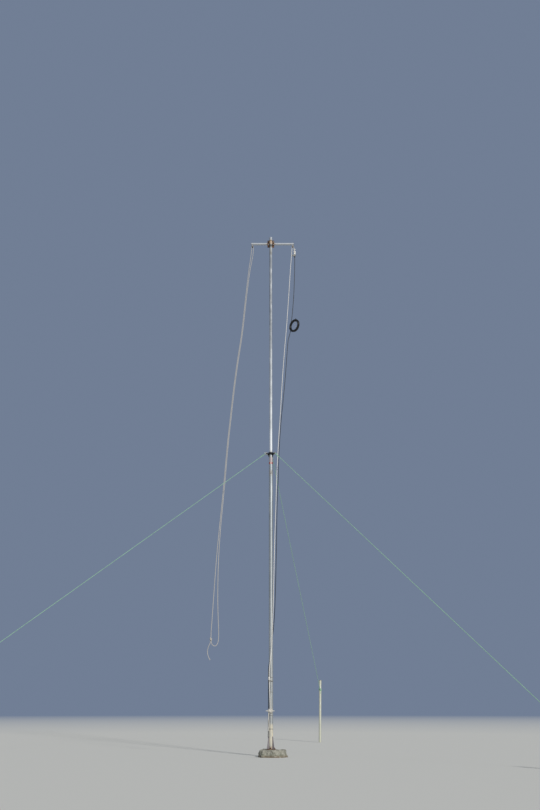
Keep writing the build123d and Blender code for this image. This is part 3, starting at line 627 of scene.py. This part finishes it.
def spline_line(points):
    """Points along the smooth curve with those control points."""
    guide = spline_curve("guide", points)
    bpy.context.view_layer.update()
    mesh = bpy.data.meshes.new_from_object(guide.evaluated_get(bpy.context.evaluated_depsgraph_get()))
    line = np.array([vertex.co[:] for vertex in mesh.vertices])
    bpy.data.meshes.remove(mesh)
    bpy.data.objects.remove(guide)
    return line


def turned(one, two, degrees):
    """Direction an angle round from one direction towards another."""
    angle = radians(degrees)
    return one * cos(angle) + two * sin(angle)


def offsets(spot, one, two, pairs):
    """Points at stated distances from a spot along two directions."""
    return [spot + one * first + two * second for first, second in pairs]


def spin(centre, axis, start, radius, degrees, count, rise=0.0):
    """Points of a helix round an axis, from a start direction."""
    centre, axis, start = Vector(centre), Vector(axis).normalized(), Vector(start)
    start = (start - axis * start.dot(axis)).normalized()
    side = axis.cross(start)
    shares = [index / count for index in range(count + 1)]
    return [centre + turned(start, side, degrees * s) * radius + axis * rise * s for s in shares]


# Free ropes: the routes of the solids, in millimetres
ARM_MM = 1000 * ARM_Y


def route(*points):
    """A route's points in metres."""
    return [(x / 1000, y / 1000, z / 1000) for x, y, z in points]


LEFT_OUTER = route(
    (-304, ARM_MM, 8226.8), (-304, ARM_MM, 8254.8), (-332, ARM_MM, 8254.8), (-333, ARM_MM, 8218),
    (-338, 51, 8140), (-352, 52, 7990), (-379, 51, 7800), (-402, 52, 7560), (-425, 51, 7330),
    (-446, 52, 7090), (-466, 53, 6850), (-502, 52, 6500), (-553, 54, 6140), (-595, 53, 5780),
    (-632, 55, 5420), (-663, 54, 5070), (-696, 55, 4720), (-721, 53, 4370), (-744, 54, 4020),
    (-772, 52, 3660), (-803, 53, 3300), (-832, 52, 2930), (-853, 53, 2570), (-872, 51, 2200),
    (-886, 52, 1900), (-897, 51, 1750), (-897, 51, 1652),
)
LEFT_INNER = route(
    (-304, ARM_MM, 8140), (-322, 50, 7990), (-358, 51, 7800), (-384, 49, 7560), (-409, 50, 7330),
    (-431, 49, 7090), (-451, 50, 6850), (-487, 49, 6500), (-538, 50, 6140), (-580, 48, 5780),
    (-617, 49, 5420), (-648, 47, 5070), (-681, 48, 4720), (-706, 47, 4370), (-728, 48, 4020),
    (-756, 47, 3660), (-784, 49, 3300), (-803, 48, 2930), (-810, 50, 2570), (-807, 49, 2200),
    (-793, 50, 1910), (-783, 50, 1760), (-781, 51, 1665), (-786, 51, 1600), (-801, 51, 1555),
    (-826, 51, 1532), (-854, 51, 1534), (-875, 51, 1552), (-891, 51, 1580), (-891, 51, 1608),
)
LEFT_TAIL = route(
    (-903, 51, 1608), (-903, 51, 1580), (-922, 51, 1545), (-940, 52, 1500), (-945, 52, 1450),
    (-938, 51, 1402), (-921, 51, 1362), (-901, 50, 1332),
)
RIGHT_HALYARD = route(
    (402.9, ARM_MM, 8205.6), (398, ARM_MM, 8226.8), (398, ARM_MM, 8254.8), (370, ARM_MM, 8254.8),
    (369, ARM_MM, 8218), (364, 50, 8140), (357, 49, 8060), (347, 48, 7920), (335, 46, 7770),
    (314, 43, 7430), (290, 39, 7080), (265, 35, 6720), (239, 31, 6420), (214, 28, 6120), (189, 24, 5770),
    (168, 19, 5400), (148, 14, 5080), (126, 9, 4760), (105, 4, 4400), (89, -2, 4060), (79, -8, 3680),
    (65, -14, 3300), (54, -20, 2950), (45, -25, 2600), (37, -31, 2220), (25, -36, 1850), (10, -38, 1560),
    (-8, -39, 1330), (-26.2, -37.5, 1190), (-26.2, -37.5, 1092), (-24.2, -38.2, 1000),
    (-9.2, -43.5, 642.5),
)
HALYARD_TAIL = route(
    (-32.7, -38.5, 602), (-32.7, -38.5, 568), (-35, -38, 520), (-29, -44, 475), (-30, -43, 430),
    (-33, -40, 390), (-34, -39, 350),
)
COAX_UPPER = route(
    (414, ARM_MM, 8031), (414, ARM_MM, 7940), (411, 52, 7780), (404, 51, 7600), (397, 52, 7410),
    (386, 51, 7220), (372, 50, 7060), (357, 52, 6893), (346.3, 46.2, 6815.8),
)
COAX_LOWER = route(
    (324.5, 46.4, 6613.5), (303, 53, 6533), (287, 52, 6470), (263, 50, 6150), (237, 51, 5790),
    (203, 49, 5430), (166, 50, 5070), (142, 48, 4740), (125, 49, 4400), (116, 47, 4080), (100, 47, 3750),
    (91, 46, 3380), (85, 47, 2990), (77, 46, 2660), (69, 46, 2340), (58, 46, 2050), (42, 45, 1820),
    (22, 43, 1640), (0, 40, 1490), (-21, 34, 1360), (-32, 20, 1250), (-37.5, 4.6, 1150), (-37.5, 4.6, 330),
    (-41, 18, 285), (-38, 44, 245), (-27, 68, 213), (-16, 85, 185), (-13, 91, 160), (-13, 91, 100),
)


def rope_end(line):
    """The last point of a line, and the heading there."""
    return Vector(line[-1]), Vector(line[-1] - line[-4]).normalized()


def rope_cord(name, points, replaced, with_pieces):
    """A free halyard as a twisted rope that follows its route."""
    line = resample(spline_line(points), 0.004)
    piece = Shape().rope(line, ROPE).make(name, "white_rope", replaced)


def knot_wraps(shape, centre, radius, height, turns):
    """Adds wraps of rope round a vertical core, and a strand that crosses them."""
    low = Vector(centre) - UP * (height / 2 - ROPE)
    shape.rope(spin(low, UP, -BACK, radius, 360 * turns, int(24 * turns), height - 2 * ROPE), ROPE)
    front = BACK * (-radius - ROPE * 0.9)
    cross = [low + front * 0.6 + Vector((radius * 0.9, 0, -ROPE)), low + front + UP * (height * 0.45),
             low + front * 0.6 + Vector((-radius * 0.9, 0, height - ROPE))]
    return shape.rope(spline_line(cross), ROPE)


def make_left_knot():
    """Knot that closes the left rope's loop."""
    shape = Shape()
    shape.rope(route((-891, 51, 1604), (-893, 51, 1632), (-897, 51, 1660)), ROPE)
    shape.rope(route((-903, 51, 1604), (-901, 51, 1632), (-898, 51, 1656)), ROPE)
    knot_wraps(shape, (-0.897, 0.051, 1.63), 0.0125, 0.044, 4.0)
    return shape.make("left_knot_turns", "white_rope", ["left_halyard_knot"])


def make_tie_off_knot():
    """Knot above the eye, round the rope that runs on to the cleat."""
    shape = knot_wraps(Shape(), (-0.0262, -0.0375, 1.068), 0.0095, 0.046, 4.2)
    return shape.make("tie_off_turns", "white_rope", ["tie_off_knot"])


def make_feed_knot():
    """Bowline-like loop through the insulator's eye."""
    shape = Shape()
    eye = Vector(FEED_EYE)
    end = Vector(RIGHT_HALYARD[0])
    up = (end - eye).normalized()
    loop = 0.012
    shape.rope(spin(eye + up * loop, up.cross(BACK), up, loop, 360, 40), ROPE * 0.92)
    shape.rope([eye + up * 0.022, end + up * 0.004], ROPE)
    shape.rope(spin(eye + up * 0.027, up, -BACK, 0.0085, 360 * 2.6, 60, 0.02), ROPE * 0.95)
    tail = ((0.046, (0, -0.009, 0)), (0.04, (0.012, -0.012, 0)), (0.022, (0.02, -0.012, -0.002)))
    shape.rope(spline_line([eye + up * rise + Vector(aside) for rise, aside in tail]), ROPE)
    return shape.make("feed_knot_turns", "white_rope", ["feed_knot"])


def cleat_point(side, up, out):
    """Point by its place on the cleat: to the left, upwards and out from the mast's axis."""
    outward = direction(CLEAT_AZIMUTH)
    return outward * out + outward.cross(UP) * side + UP * (CLEAT_HEIGHT + up)


def make_cleat_turns():
    """Rope turned round the cleat's stem and crossed over its horns."""
    seat, front = 1000 * CLEAT_SEAT, 1000 * HORN_FRONT
    points = route(
        (0, 25, seat), (8, 14, seat), (18.5, 4, seat), (17.5, -10, seat), (0, -12.5, seat),
        (-17.5, -10, seat), (-18.5, 6, seat + 2), (-10, 16, seat + 4), (10, 18.5, seat + 4),
        (26, 10, seat + 2), (30, -6, seat), (24, -17, seat + 10), (10, -14, front - 4), (0, -2, front),
        (-12, 12, front - 4), (-24, 17, seat + 10), (-31, 6, seat), (-28, -10, seat),
        (-20, -18, seat + 12), (-6, -10, front - 1), (6, 4, front + 4), (18, 14, front - 4),
        (31, 14, seat + 9), (38, 2, seat), (34, -12, seat), (26, -17, seat), (24, -22, seat),
    )
    line = spline_line([cleat_point(*point) for point in points])
    return Shape().rope(line, ROPE * 0.96).make("cleat_turns", "white_rope", ["halyard_hitch"])


def make_whipping(name, points):
    """Twine bound round a rope's free end, and the melted tip."""
    tip, heading = rope_end(spline_line(points))
    twine = spin(tip - heading * 0.016, heading, (1, 0, 0), ROPE * 1.1, 360 * 9, 160, 0.011)
    shape = Shape().tube(twine, 0.0007, 5)
    radii = [ROPE * 1.02, ROPE * 0.98, ROPE * 0.7]
    shape.tube([tip - heading * 0.003, tip, tip + heading * 0.0006], radii, 14)
    return shape.make(name, "white_rope")


left_knot = make_left_knot()
tie_off_turns = make_tie_off_knot()
feed_turns = make_feed_knot()
cleat_turns = make_cleat_turns()
rope_cord("left_halyard", LEFT_INNER[::-1] + LEFT_OUTER, ["left_halyard_outer", "left_halyard_inner"],
          [left_knot])
rope_cord("left_halyard_end", LEFT_TAIL, ["left_halyard_tail"],
          [make_whipping("left_whipping", LEFT_TAIL)])
rope_cord("right_halyard_line", RIGHT_HALYARD, ["right_halyard"],
          [tie_off_turns, feed_turns])
rope_cord("halyard_end", HALYARD_TAIL, ["halyard_tail"],
          [cleat_turns, make_whipping("tail_whipping", HALYARD_TAIL)])

# Feed cable: one length from the gland through the coil to the conduit
COIL_ACROSS = Vector((0.682, -0.7314, 0))
COIL_CENTRE = Vector((0.39479, -0.01813, 6.714))
COIL_RADIUS = 0.095
COIL_RING = 0.0151
COIL_SLOTS = 9
COIL_START, COIL_END = 150, 210
COIL_STEP = 20
COIL_FIRST = 16
COIL_TIES = (70, 190, 310)


def coil_points():
    """Turns of the coil, each a place further round the bundle."""
    normal = COIL_ACROSS.cross(UP)
    total = 360 * (COIL_SLOTS - 1) + COIL_END - COIL_START
    count = int(total / COIL_STEP)
    points = []
    for index in range(count + 1):
        onward = total * index / count
        outward = turned(COIL_ACROSS, UP, COIL_START + onward)
        bundle = radians(COIL_FIRST + onward / COIL_SLOTS)
        reach = (COIL_RADIUS + COIL_RING * cos(bundle)) / cos(radians(COIL_STEP) / 2) ** 0.5
        points.append(tuple(COIL_CENTRE + outward * reach + normal * COIL_RING * sin(bundle)))
    return points


def make_coil_ties():
    """Tape round the coil, at each place with a knot and a cut tail."""
    ties = Shape()
    for angle in COIL_TIES:
        outward, heading = turned(COIL_ACROSS, UP, angle), turned(UP, -COIL_ACROSS, angle)
        middle = COIL_CENTRE + outward * COIL_RADIUS
        for turn, offset in enumerate((-0.004, 0.0, 0.0035)):
            loop = spin(middle + heading * offset, heading, outward, 0.0207 + 0.0004 * turn, 360, 36)[:-1]
            ties.tube(loop, 0.0019, 6, closed=True)
        knob = middle + outward * 0.0222
        ties.tube([knob - heading * 0.004, knob, knob + heading * 0.005], [0.003, 0.0042, 0.0026], 8)
        tail = ((0.004, 0), (0.012, 0.004), (0.018, 0.012))
        ties.tube(spline_line(offsets(knob, heading, outward, tail)), 0.0015, 6)
    return ties.make("coil_ties", "black_plastic")


def make_coil_string():
    """Loose string that hangs in the coil."""
    top = COIL_CENTRE + COIL_ACROSS * 0.022 + UP * (COIL_RADIUS - 0.018)
    drops = ((0, 0), (0.004, 0.016), (-0.003, 0.04), (0.005, 0.066), (0.001, 0.092), (0.006, 0.108))
    line = spline_line(offsets(top, COIL_ACROSS, -UP, drops))
    return Shape().rope(line, 0.0022, 7, 5).make("coil_string", "white_rope")


def make_coax():
    """The whole feed cable as one cord, with what holds its coil."""
    cable = spline_curve("feed_cable", COAX_UPPER + coil_points() + COAX_LOWER)
    cable.data.bevel_depth = CABLE
    cable.data.bevel_resolution = 3
    cable.data.resolution_u = 8
    cable.data.use_fill_caps = True
    place(cable, "cable_jacket", ["coax_upper", "coax_coil", "coax_lower"])
    make_coil_ties()
    make_coil_string()


make_coax()


# Foot: rough concrete, stones, welds, washers and threads
FOOTING_COLUMNS = 260
FOOTING_HEIGHT = 0.1
FOOTING_TAPER = tan(radians(14))
FOOTING_EDGE = 0.012
STONES = 190
BARE_RING = 0.012


def fade(value, low, high):
    """Smooth step from 0 at low to 1 at high."""
    share = min(1.0, max(0.0, (value - low) / (high - low)))
    return share * share * (3 - 2 * share)


def from_conduit(spot):
    """Distance from the conduit's axis."""
    return (spot.xy - Vector(CONDUIT[:2])).length


def footing_rows():
    """Height, inset, share of the radius and upward facing of the footing's rings."""
    base = FOOTING_HEIGHT - FOOTING_EDGE
    rows = [(z, z * FOOTING_TAPER, 1.0, 0.12) for z in np.linspace(0, base, 15)]
    for angle in np.radians([18, 36, 54, 72, 90]):
        inset = base * FOOTING_TAPER + FOOTING_EDGE * (1 - cos(angle)) + 0.002
        rows.append((base + FOOTING_EDGE * sin(angle), inset, 1.0, sin(angle)))
    inset = rows[-1][1]
    return rows + [(FOOTING_HEIGHT, inset, share, 1.0) for share in np.linspace(0.97, 0.02, 42)]


def make_footing():
    """The solid's own outline, grown lumpy and slumped, and flat under the foot plate."""
    solid = nodes["concrete_footing"].data
    corners = {(round(v.co.x, 4), round(v.co.y, 4)) for v in solid.vertices if v.co.z < 0.0005}
    corners = np.array(sorted(corners, key=lambda corner: atan2(corner[1], corner[0])))
    ahead = np.roll(corners, -1, axis=0)
    outward = np.stack([ahead[:, 1] - corners[:, 1], corners[:, 0] - ahead[:, 0]], axis=1)
    outward /= np.linalg.norm(outward, axis=1)[:, None]
    reach = (outward * corners).sum(axis=1)
    turns = np.arange(FOOTING_COLUMNS) * (2 * pi / FOOTING_COLUMNS)
    heading = np.stack([np.cos(turns), np.sin(turns)], axis=1)
    facing = heading @ outward.T
    rings = []
    for height, inset, share, up in footing_rows():
        edge = np.where(facing > 0.05, (reach - inset) / np.maximum(facing, 0.05), 9.0).min(axis=1) * share
        ring = []
        for (east, north), radius in zip(heading, edge):
            spot = Vector((east * radius, north * radius, height))
            lobes = noise.noise(Vector((east * 3.1, north * 3.1, 0.6 + height * 4)))
            lumps = noise.fractal(spot * 17, 0.9, 2.1, 5)
            grit = noise.noise(spot * 95) + 0.5 * noise.noise(spot * 230)
            swell = 0.013 * lobes * (1 - up) + 0.011 * lumps - 0.004 * up + 0.0016 * grit
            clear = fade(radius, PLATE_RADIUS + 0.003, PLATE_RADIUS + 0.035)
            clear *= fade(from_conduit(spot), CONDUIT[2] + 0.002, CONDUIT[2] + 0.016)
            push = Vector((east * (1 - up), north * (1 - up), up if height > 0 else 0)).normalized()
            spot += push * (swell * clear)
            ring.append((spot.x, spot.y, max(0.0, spot.z)))
        rings.append(ring)
    rings = np.array(rings)
    shape = Shape().rings(rings, np.arange(len(rings)) * 0.003)
    shape.make("footing_concrete", "concrete", ["concrete_footing"])
    return rings


def make_stones(rings):
    """Stones that stand a little out of the concrete, and crumbs at its edge."""
    mesh = bmesh.new()
    for _ in range(STONES):
        row, column = dice.randrange(0, len(rings) - 14), dice.randrange(FOOTING_COLUMNS)
        spot = Vector(rings[row][column])
        size = dice.uniform(0.0022, 0.0075) * (0.7 if row > 20 else 1.0)
        if min(spot.xy.length - PLATE_RADIUS, from_conduit(spot) - CONDUIT[2]) < BARE_RING:
            continue
        turn = Matrix.Rotation(dice.uniform(0, 6.28), 4, (dice.random(), dice.random(), 1))
        squash = Matrix.Diagonal((size * dice.uniform(0.8, 1.3), size, size * dice.uniform(0.5, 0.8), 1))
        spot.z = max(spot.z, size * 0.45)
        matrix = Matrix.Translation(spot) @ turn @ squash
        made = bmesh.ops.create_icosphere(mesh, subdivisions=2, radius=1, matrix=matrix)
        for vertex in made["verts"]:
            vertex.co += (vertex.co - spot) * (0.28 * noise.noise(vertex.co * 260))
            vertex.co.z = max(0.0, vertex.co.z)
    data = bpy.data.meshes.new("footing_stones")
    mesh.to_mesh(data)
    mesh.free()
    data.shade_smooth()
    place(add_object("footing_stones", data), "concrete")


def web_welds(shape, azimuth, reach, low, high, foot, bead):
    """Beads down both faces of a web against the pipe, and along its edge on the plate."""
    out = direction(azimuth)
    side = out.cross(UP)
    for sign in (-1, 1):
        offset = side * (sign * (HALF_WEB + bead * 0.25))
        shape.weld([out * (reach[0] + bead * 0.3) + offset + UP * z for z in (low, high)], bead)
        shape.weld([out * r + offset + UP * foot for r in (reach[0] + bead, reach[1])], bead)


def make_welds():
    """Weld beads of the foot and of the guy plate."""
    foot, top = Shape(), Shape()
    for azimuth in GUY_AZIMUTHS.values():
        web_welds(foot, azimuth, GUSSET_REACH, PLATE_TOP, GUSSET_TOP, PLATE_TOP + 0.0006, GUSSET_BEAD)
        web_welds(top, azimuth, WEB_REACH, WEB_BOTTOM + 0.006, LOWER_TOP, LOWER_TOP - 0.0006, WEB_BEAD)
    for shape, height in ((foot, PLATE_TOP + 0.001), (top, LOWER_TOP - 0.001)):
        shape.weld(spin((0, 0, height), UP, (1, 0, 0), LOWER_RADIUS + 0.0008, 360, 120), RING_BEAD)
    foot.make("foot_welds", "grey_paint")
    top.make("guy_plate_welds", "black_paint")


def make_fasteners():
    """Washers and threads of the studs, the U-bolts, the pulleys, the pipes' joint and the cleat."""
    shape = Shape()
    for azimuth in GUY_AZIMUTHS.values():
        shape.bolt_end(ring_point(azimuth + 60, STUD_CIRCLE, PLATE_TOP), UP, *STUD_END)
    shape.make("foot_washers", "rusty_steel", sharp=40)
    shape = Shape()
    for x, z in MAST_BOLTS:
        shape.bolt_end((x, CLAMP_BACK, z), BACK, *U_BOLT_END)
    for x, z in ARM_BOLTS:
        shape.bolt_end((x, CLAMP_FRONT, z), -BACK, *U_BOLT_END)
    seat = LOWER_RADIUS + 0.0001
    shape.disc((0, -seat, JOINT_BOLT_HEIGHT), -BACK, *JOINT_BOLT_END[:2])
    shape.bolt_end((0, seat, JOINT_BOLT_HEIGHT), BACK, *JOINT_BOLT_END)
    for x in PULLEYS:
        shape.disc((x, ARM_Y, PULLEY_BOLT_SEAT), UP, *PULLEY_WASHER)
        shape.thread(*((x, ARM_Y, height) for height in PULLEY_THREAD), *U_BOLT_END[4:])
        for sign in (-1, 1):
            shape.disc((x, ARM_Y + sign * PIN_REACH, PIN_HEIGHT), BACK * sign, *PIN_WASHER)
    shape.make("bolt_washers", "zinc", sharp=40)
    shape = Shape()
    for side, up in CLEAT_BOLTS:
        shape.disc(cleat_point(side, up, CLEAT_BOLT_SEAT), direction(CLEAT_AZIMUTH), *CLEAT_WASHER)
    shape.make("cleat_washers", "zinc", sharp=40)


def make_tie_heads():
    """Heads and cut tails of the cable's ties."""
    shape = Shape()
    reach = LOWER_RADIUS + 0.0042
    for index, height in enumerate(TIE_HEIGHTS):
        azimuth = 212 + 5 * index
        shape.strip([ring_point(azimuth + turn, reach, height) for turn in (-6.5, 0, 6.5)], *TIE_HEAD)
        tail = []
        for step in range(3 + index % 2):
            out = reach - 0.0004 + 0.0011 * step * step
            tail.append(ring_point(azimuth - 7 - step * 5.5, out, height + 0.0006 * step))
        shape.strip(spline_line(tail), *TIE_TAIL)
    shape.make("cable_tie_heads", "black_plastic", sharp=35)


def make_band_screw():
    """Worm-drive screw of the band with the eye."""
    shape = Shape()
    reach = LOWER_RADIUS + 0.0052
    housing = [ring_point(TIE_OFF_AZIMUTH + turn, reach, TIE_OFF_HEIGHT) for turn in (-15, -5, 5, 15)]
    shape.strip(housing, *SCREW_HOUSING)
    middle = ring_point(TIE_OFF_AZIMUTH, reach + 0.0044, TIE_OFF_HEIGHT)
    heading = direction(TIE_OFF_AZIMUTH).cross(UP)
    shape.tube([middle - heading * 0.0105, middle + heading * 0.0105], 0.0042, 14)
    shape.disc(middle + heading * 0.01, heading, 0.0052, 0.0042, 6)
    shape.thread(middle - heading * 0.01, middle + heading * 0.01, 0.0043, 0.0019, 0.0006)
    shape.make("band_screw", "zinc", sharp=35)


def make_tape():
    """Red tape wound round the pipe in overlapping turns, with a lifted end."""
    turns, steps = 4.6, 276
    rise = BAND[1] - BAND[0] - TAPE[0]
    line = []
    for index in range(steps + 1):
        share = index / steps
        lift = 0.0016 * fade(share, 0.985, 1.0)
        level = BAND[0] + TAPE[0] / 2 + rise * share + 0.0006 * sin(share * 21)
        radius = LOWER_RADIUS + 0.00028 + 0.0005 * share * turns / 3 + lift
        line.append(ring_point(200 + 360 * turns * share, radius, level))
    Shape().strip(line, *TAPE).make("tape_turns", "red_tape", ["red_band"], sharp=35)


footing = make_footing()
make_stones(footing)
make_welds()
make_fasteners()
make_tie_heads()
make_band_screw()
make_tape()


# Guys: spliced eye, taut run, turns round the post, half hitches and a tail
HALF_HITCHES = 0.058


def post_frame(side):
    """Middle of a guy's turns on its post, the post's axis, and the ways inwards and sideways."""
    out = direction(GUY_AZIMUTHS[side])
    axis, inward = turned(UP, out, POST_LEAN), turned(-out, UP, POST_LEAN)
    return out * GUY_REACH[side] + UP * GUY_TIE_HEIGHT[side], axis, inward, axis.cross(inward)


def guy_line(side):
    """A guy's start at its shackle, its end at its post, and the direction between them."""
    middle, axis, inward, _ = post_frame(side)
    start = ring_point(GUY_AZIMUTHS[side], *GUY_START)
    end = middle + axis * HITCH_PITCH + inward * HITCH_RING
    return start, end, (end - start).normalized()


def make_guy(side):
    """Eye round the shackle's bend, the tucked splice, and the run to the half hitches."""
    start, end, run = guy_line(side)
    across = direction(GUY_AZIMUTHS[side] + 90)
    eye = start + run * GUY_EYE_PLACE
    throat = eye + run * (GUY_EYE + 0.01)
    points = offsets(throat, run, across, ((0.062, 0.0022), (0.03, 0.0034), (0.008, 0.0046)))
    points += [eye + turned(run, across, angle) * GUY_EYE * 1.05 for angle in range(55, 306, 25)]
    points += offsets(throat, run, -across, ((0.008, 0.0046), (0.03, 0.003), (0.07, 0.0008)))
    points += [start.lerp(end, share) for share in (0.05, 0.25, 0.5, 0.75, 0.95)]
    points.append(end - run * HALF_HITCHES)
    shape = Shape().rope(spline_line(points), GUY_ROPE, 7, 5)
    for strand in range(STRANDS):
        tuck = []
        for share in np.linspace(0, 1, 46):
            spoke = turned(across, run.cross(across), 120 * strand + 620 * share)
            tuck.append(throat + run * (0.004 + 0.08 * share) + spoke * (0.0066 - 0.0022 * share))
        shape.tube(tuck, np.linspace(0.0021, 0.0009, len(tuck)), 6)
    shape.make("guy_" + side + "_rope", "green_rope", ["guy_" + side])


def make_guy_turns():
    """On each post: three turns, half hitches on the standing part, and their hanging tail."""
    shape = Shape()
    first, last = -55, -1025
    height = 1.36 * HITCH_PITCH
    drops = ((0.012, 0.006), (0.045, 0.008), (0.085, 0.003), (0.12, 0.006))
    for side in GUY_AZIMUTHS:
        middle, axis, inward, sideways = post_frame(side)
        _, end, run = guy_line(side)
        points = [end - run * HALF_HITCHES, end - run * 0.03 - sideways * 0.003,
                  middle + inward * 0.0343 - sideways * 0.0107 + axis * height]
        for share in np.linspace(0, 1, 50):
            spoke = turned(inward, sideways, first + (last - first) * share)
            points.append(middle + spoke * (HITCH_RING * 1.003) + axis * (height * (1 - 2 * share)))
        points.append(middle + inward * 0.0343 + sideways * 0.0107 - axis * (height + 0.002))
        below = (run * UP.dot(run) - UP).normalized()
        points += spin(end - run * 0.044, -run, below, 2.12 * GUY_ROPE, 360 * 2.25, 27, 0.0185)
        points += offsets(points[-1], -UP, sideways, drops)
        line = spline_line(points)
        shape.rope(line, GUY_ROPE, 8)
        tip, heading = rope_end(line)
        shape.tube([tip - heading * 0.01, tip, tip + heading * 0.001],
                   [GUY_ROPE * 1.1, GUY_ROPE, GUY_ROPE * 0.6], 12)
    shape.make("guy_turns", "green_rope", ["guy_hitches"])


for side in GUY_AZIMUTHS:
    make_guy(side)
make_guy_turns()


# Stage
def make_floor():
    """Pale floor that fades into the backdrop."""
    bpy.ops.mesh.primitive_circle_add(vertices=128, radius=220, fill_type="NGON", location=(0, 0, -0.0005))
    floor = bpy.context.object
    floor.name = "floor"
    paint = Paint("floor", roughness=0.95)
    paint.set("Base Color", (*FLOOR_COLOUR, 1))
    paint.set("Specular IOR Level", 0.1)
    glow = paint.node("ShaderNodeEmission", {"Color": (*BACKDROP, 1)})
    paint.blend(paint.away(*FLOOR_FADE), paint.shader, glow, "Material Output")
    floor.data.materials.append(paint.material)


def make_world():
    """Soft light, and the plain backdrop that the camera and shiny pieces see."""
    world = bpy.data.worlds.new("studio")
    bpy.context.scene.world = world
    world.use_nodes = True
    graph = Graph(world.node_tree)
    light = graph.node("ShaderNodeBackground", {"Color": (*SKY_LIGHT, 1), "Strength": SKY_STRENGTH})
    backdrop = graph.node("ShaderNodeBackground", {"Color": (*BACKDROP, 1)})
    rays = graph.node("ShaderNodeLightPath").outputs
    seen = rays["Is Camera Ray"]
    for name in ("Is Glossy Ray", "Is Transmission Ray"):
        seen = graph.math("MAXIMUM", seen, rays[name])
    graph.blend(seen, light, backdrop, "World Output")


def make_sun():
    """One soft key light from the photo's side."""
    sun = bpy.data.lights.new("key", "SUN")
    sun.energy = SUN_STRENGTH
    sun.angle = radians(SUN_WIDTH)
    sun.color = SUN_COLOUR
    key = add_object("key", sun)
    key.rotation_euler = Vector(SUN_FROM).to_track_quat("Z", "Y").to_euler()


def make_camera():
    """Camera at the photo's place and angle."""
    camera = add_object("camera", bpy.data.cameras.new("camera"))
    camera.data.lens = CAMERA_LENS
    camera.data.clip_end = 500
    camera.location = CAMERA_PLACE
    camera.rotation_euler = (radians(90 + CAMERA_PITCH), 0, 0)
    bpy.context.scene.camera = camera
    bpy.context.scene.view_settings.view_transform = "Standard"


make_floor()
make_world()
make_sun()
make_camera()
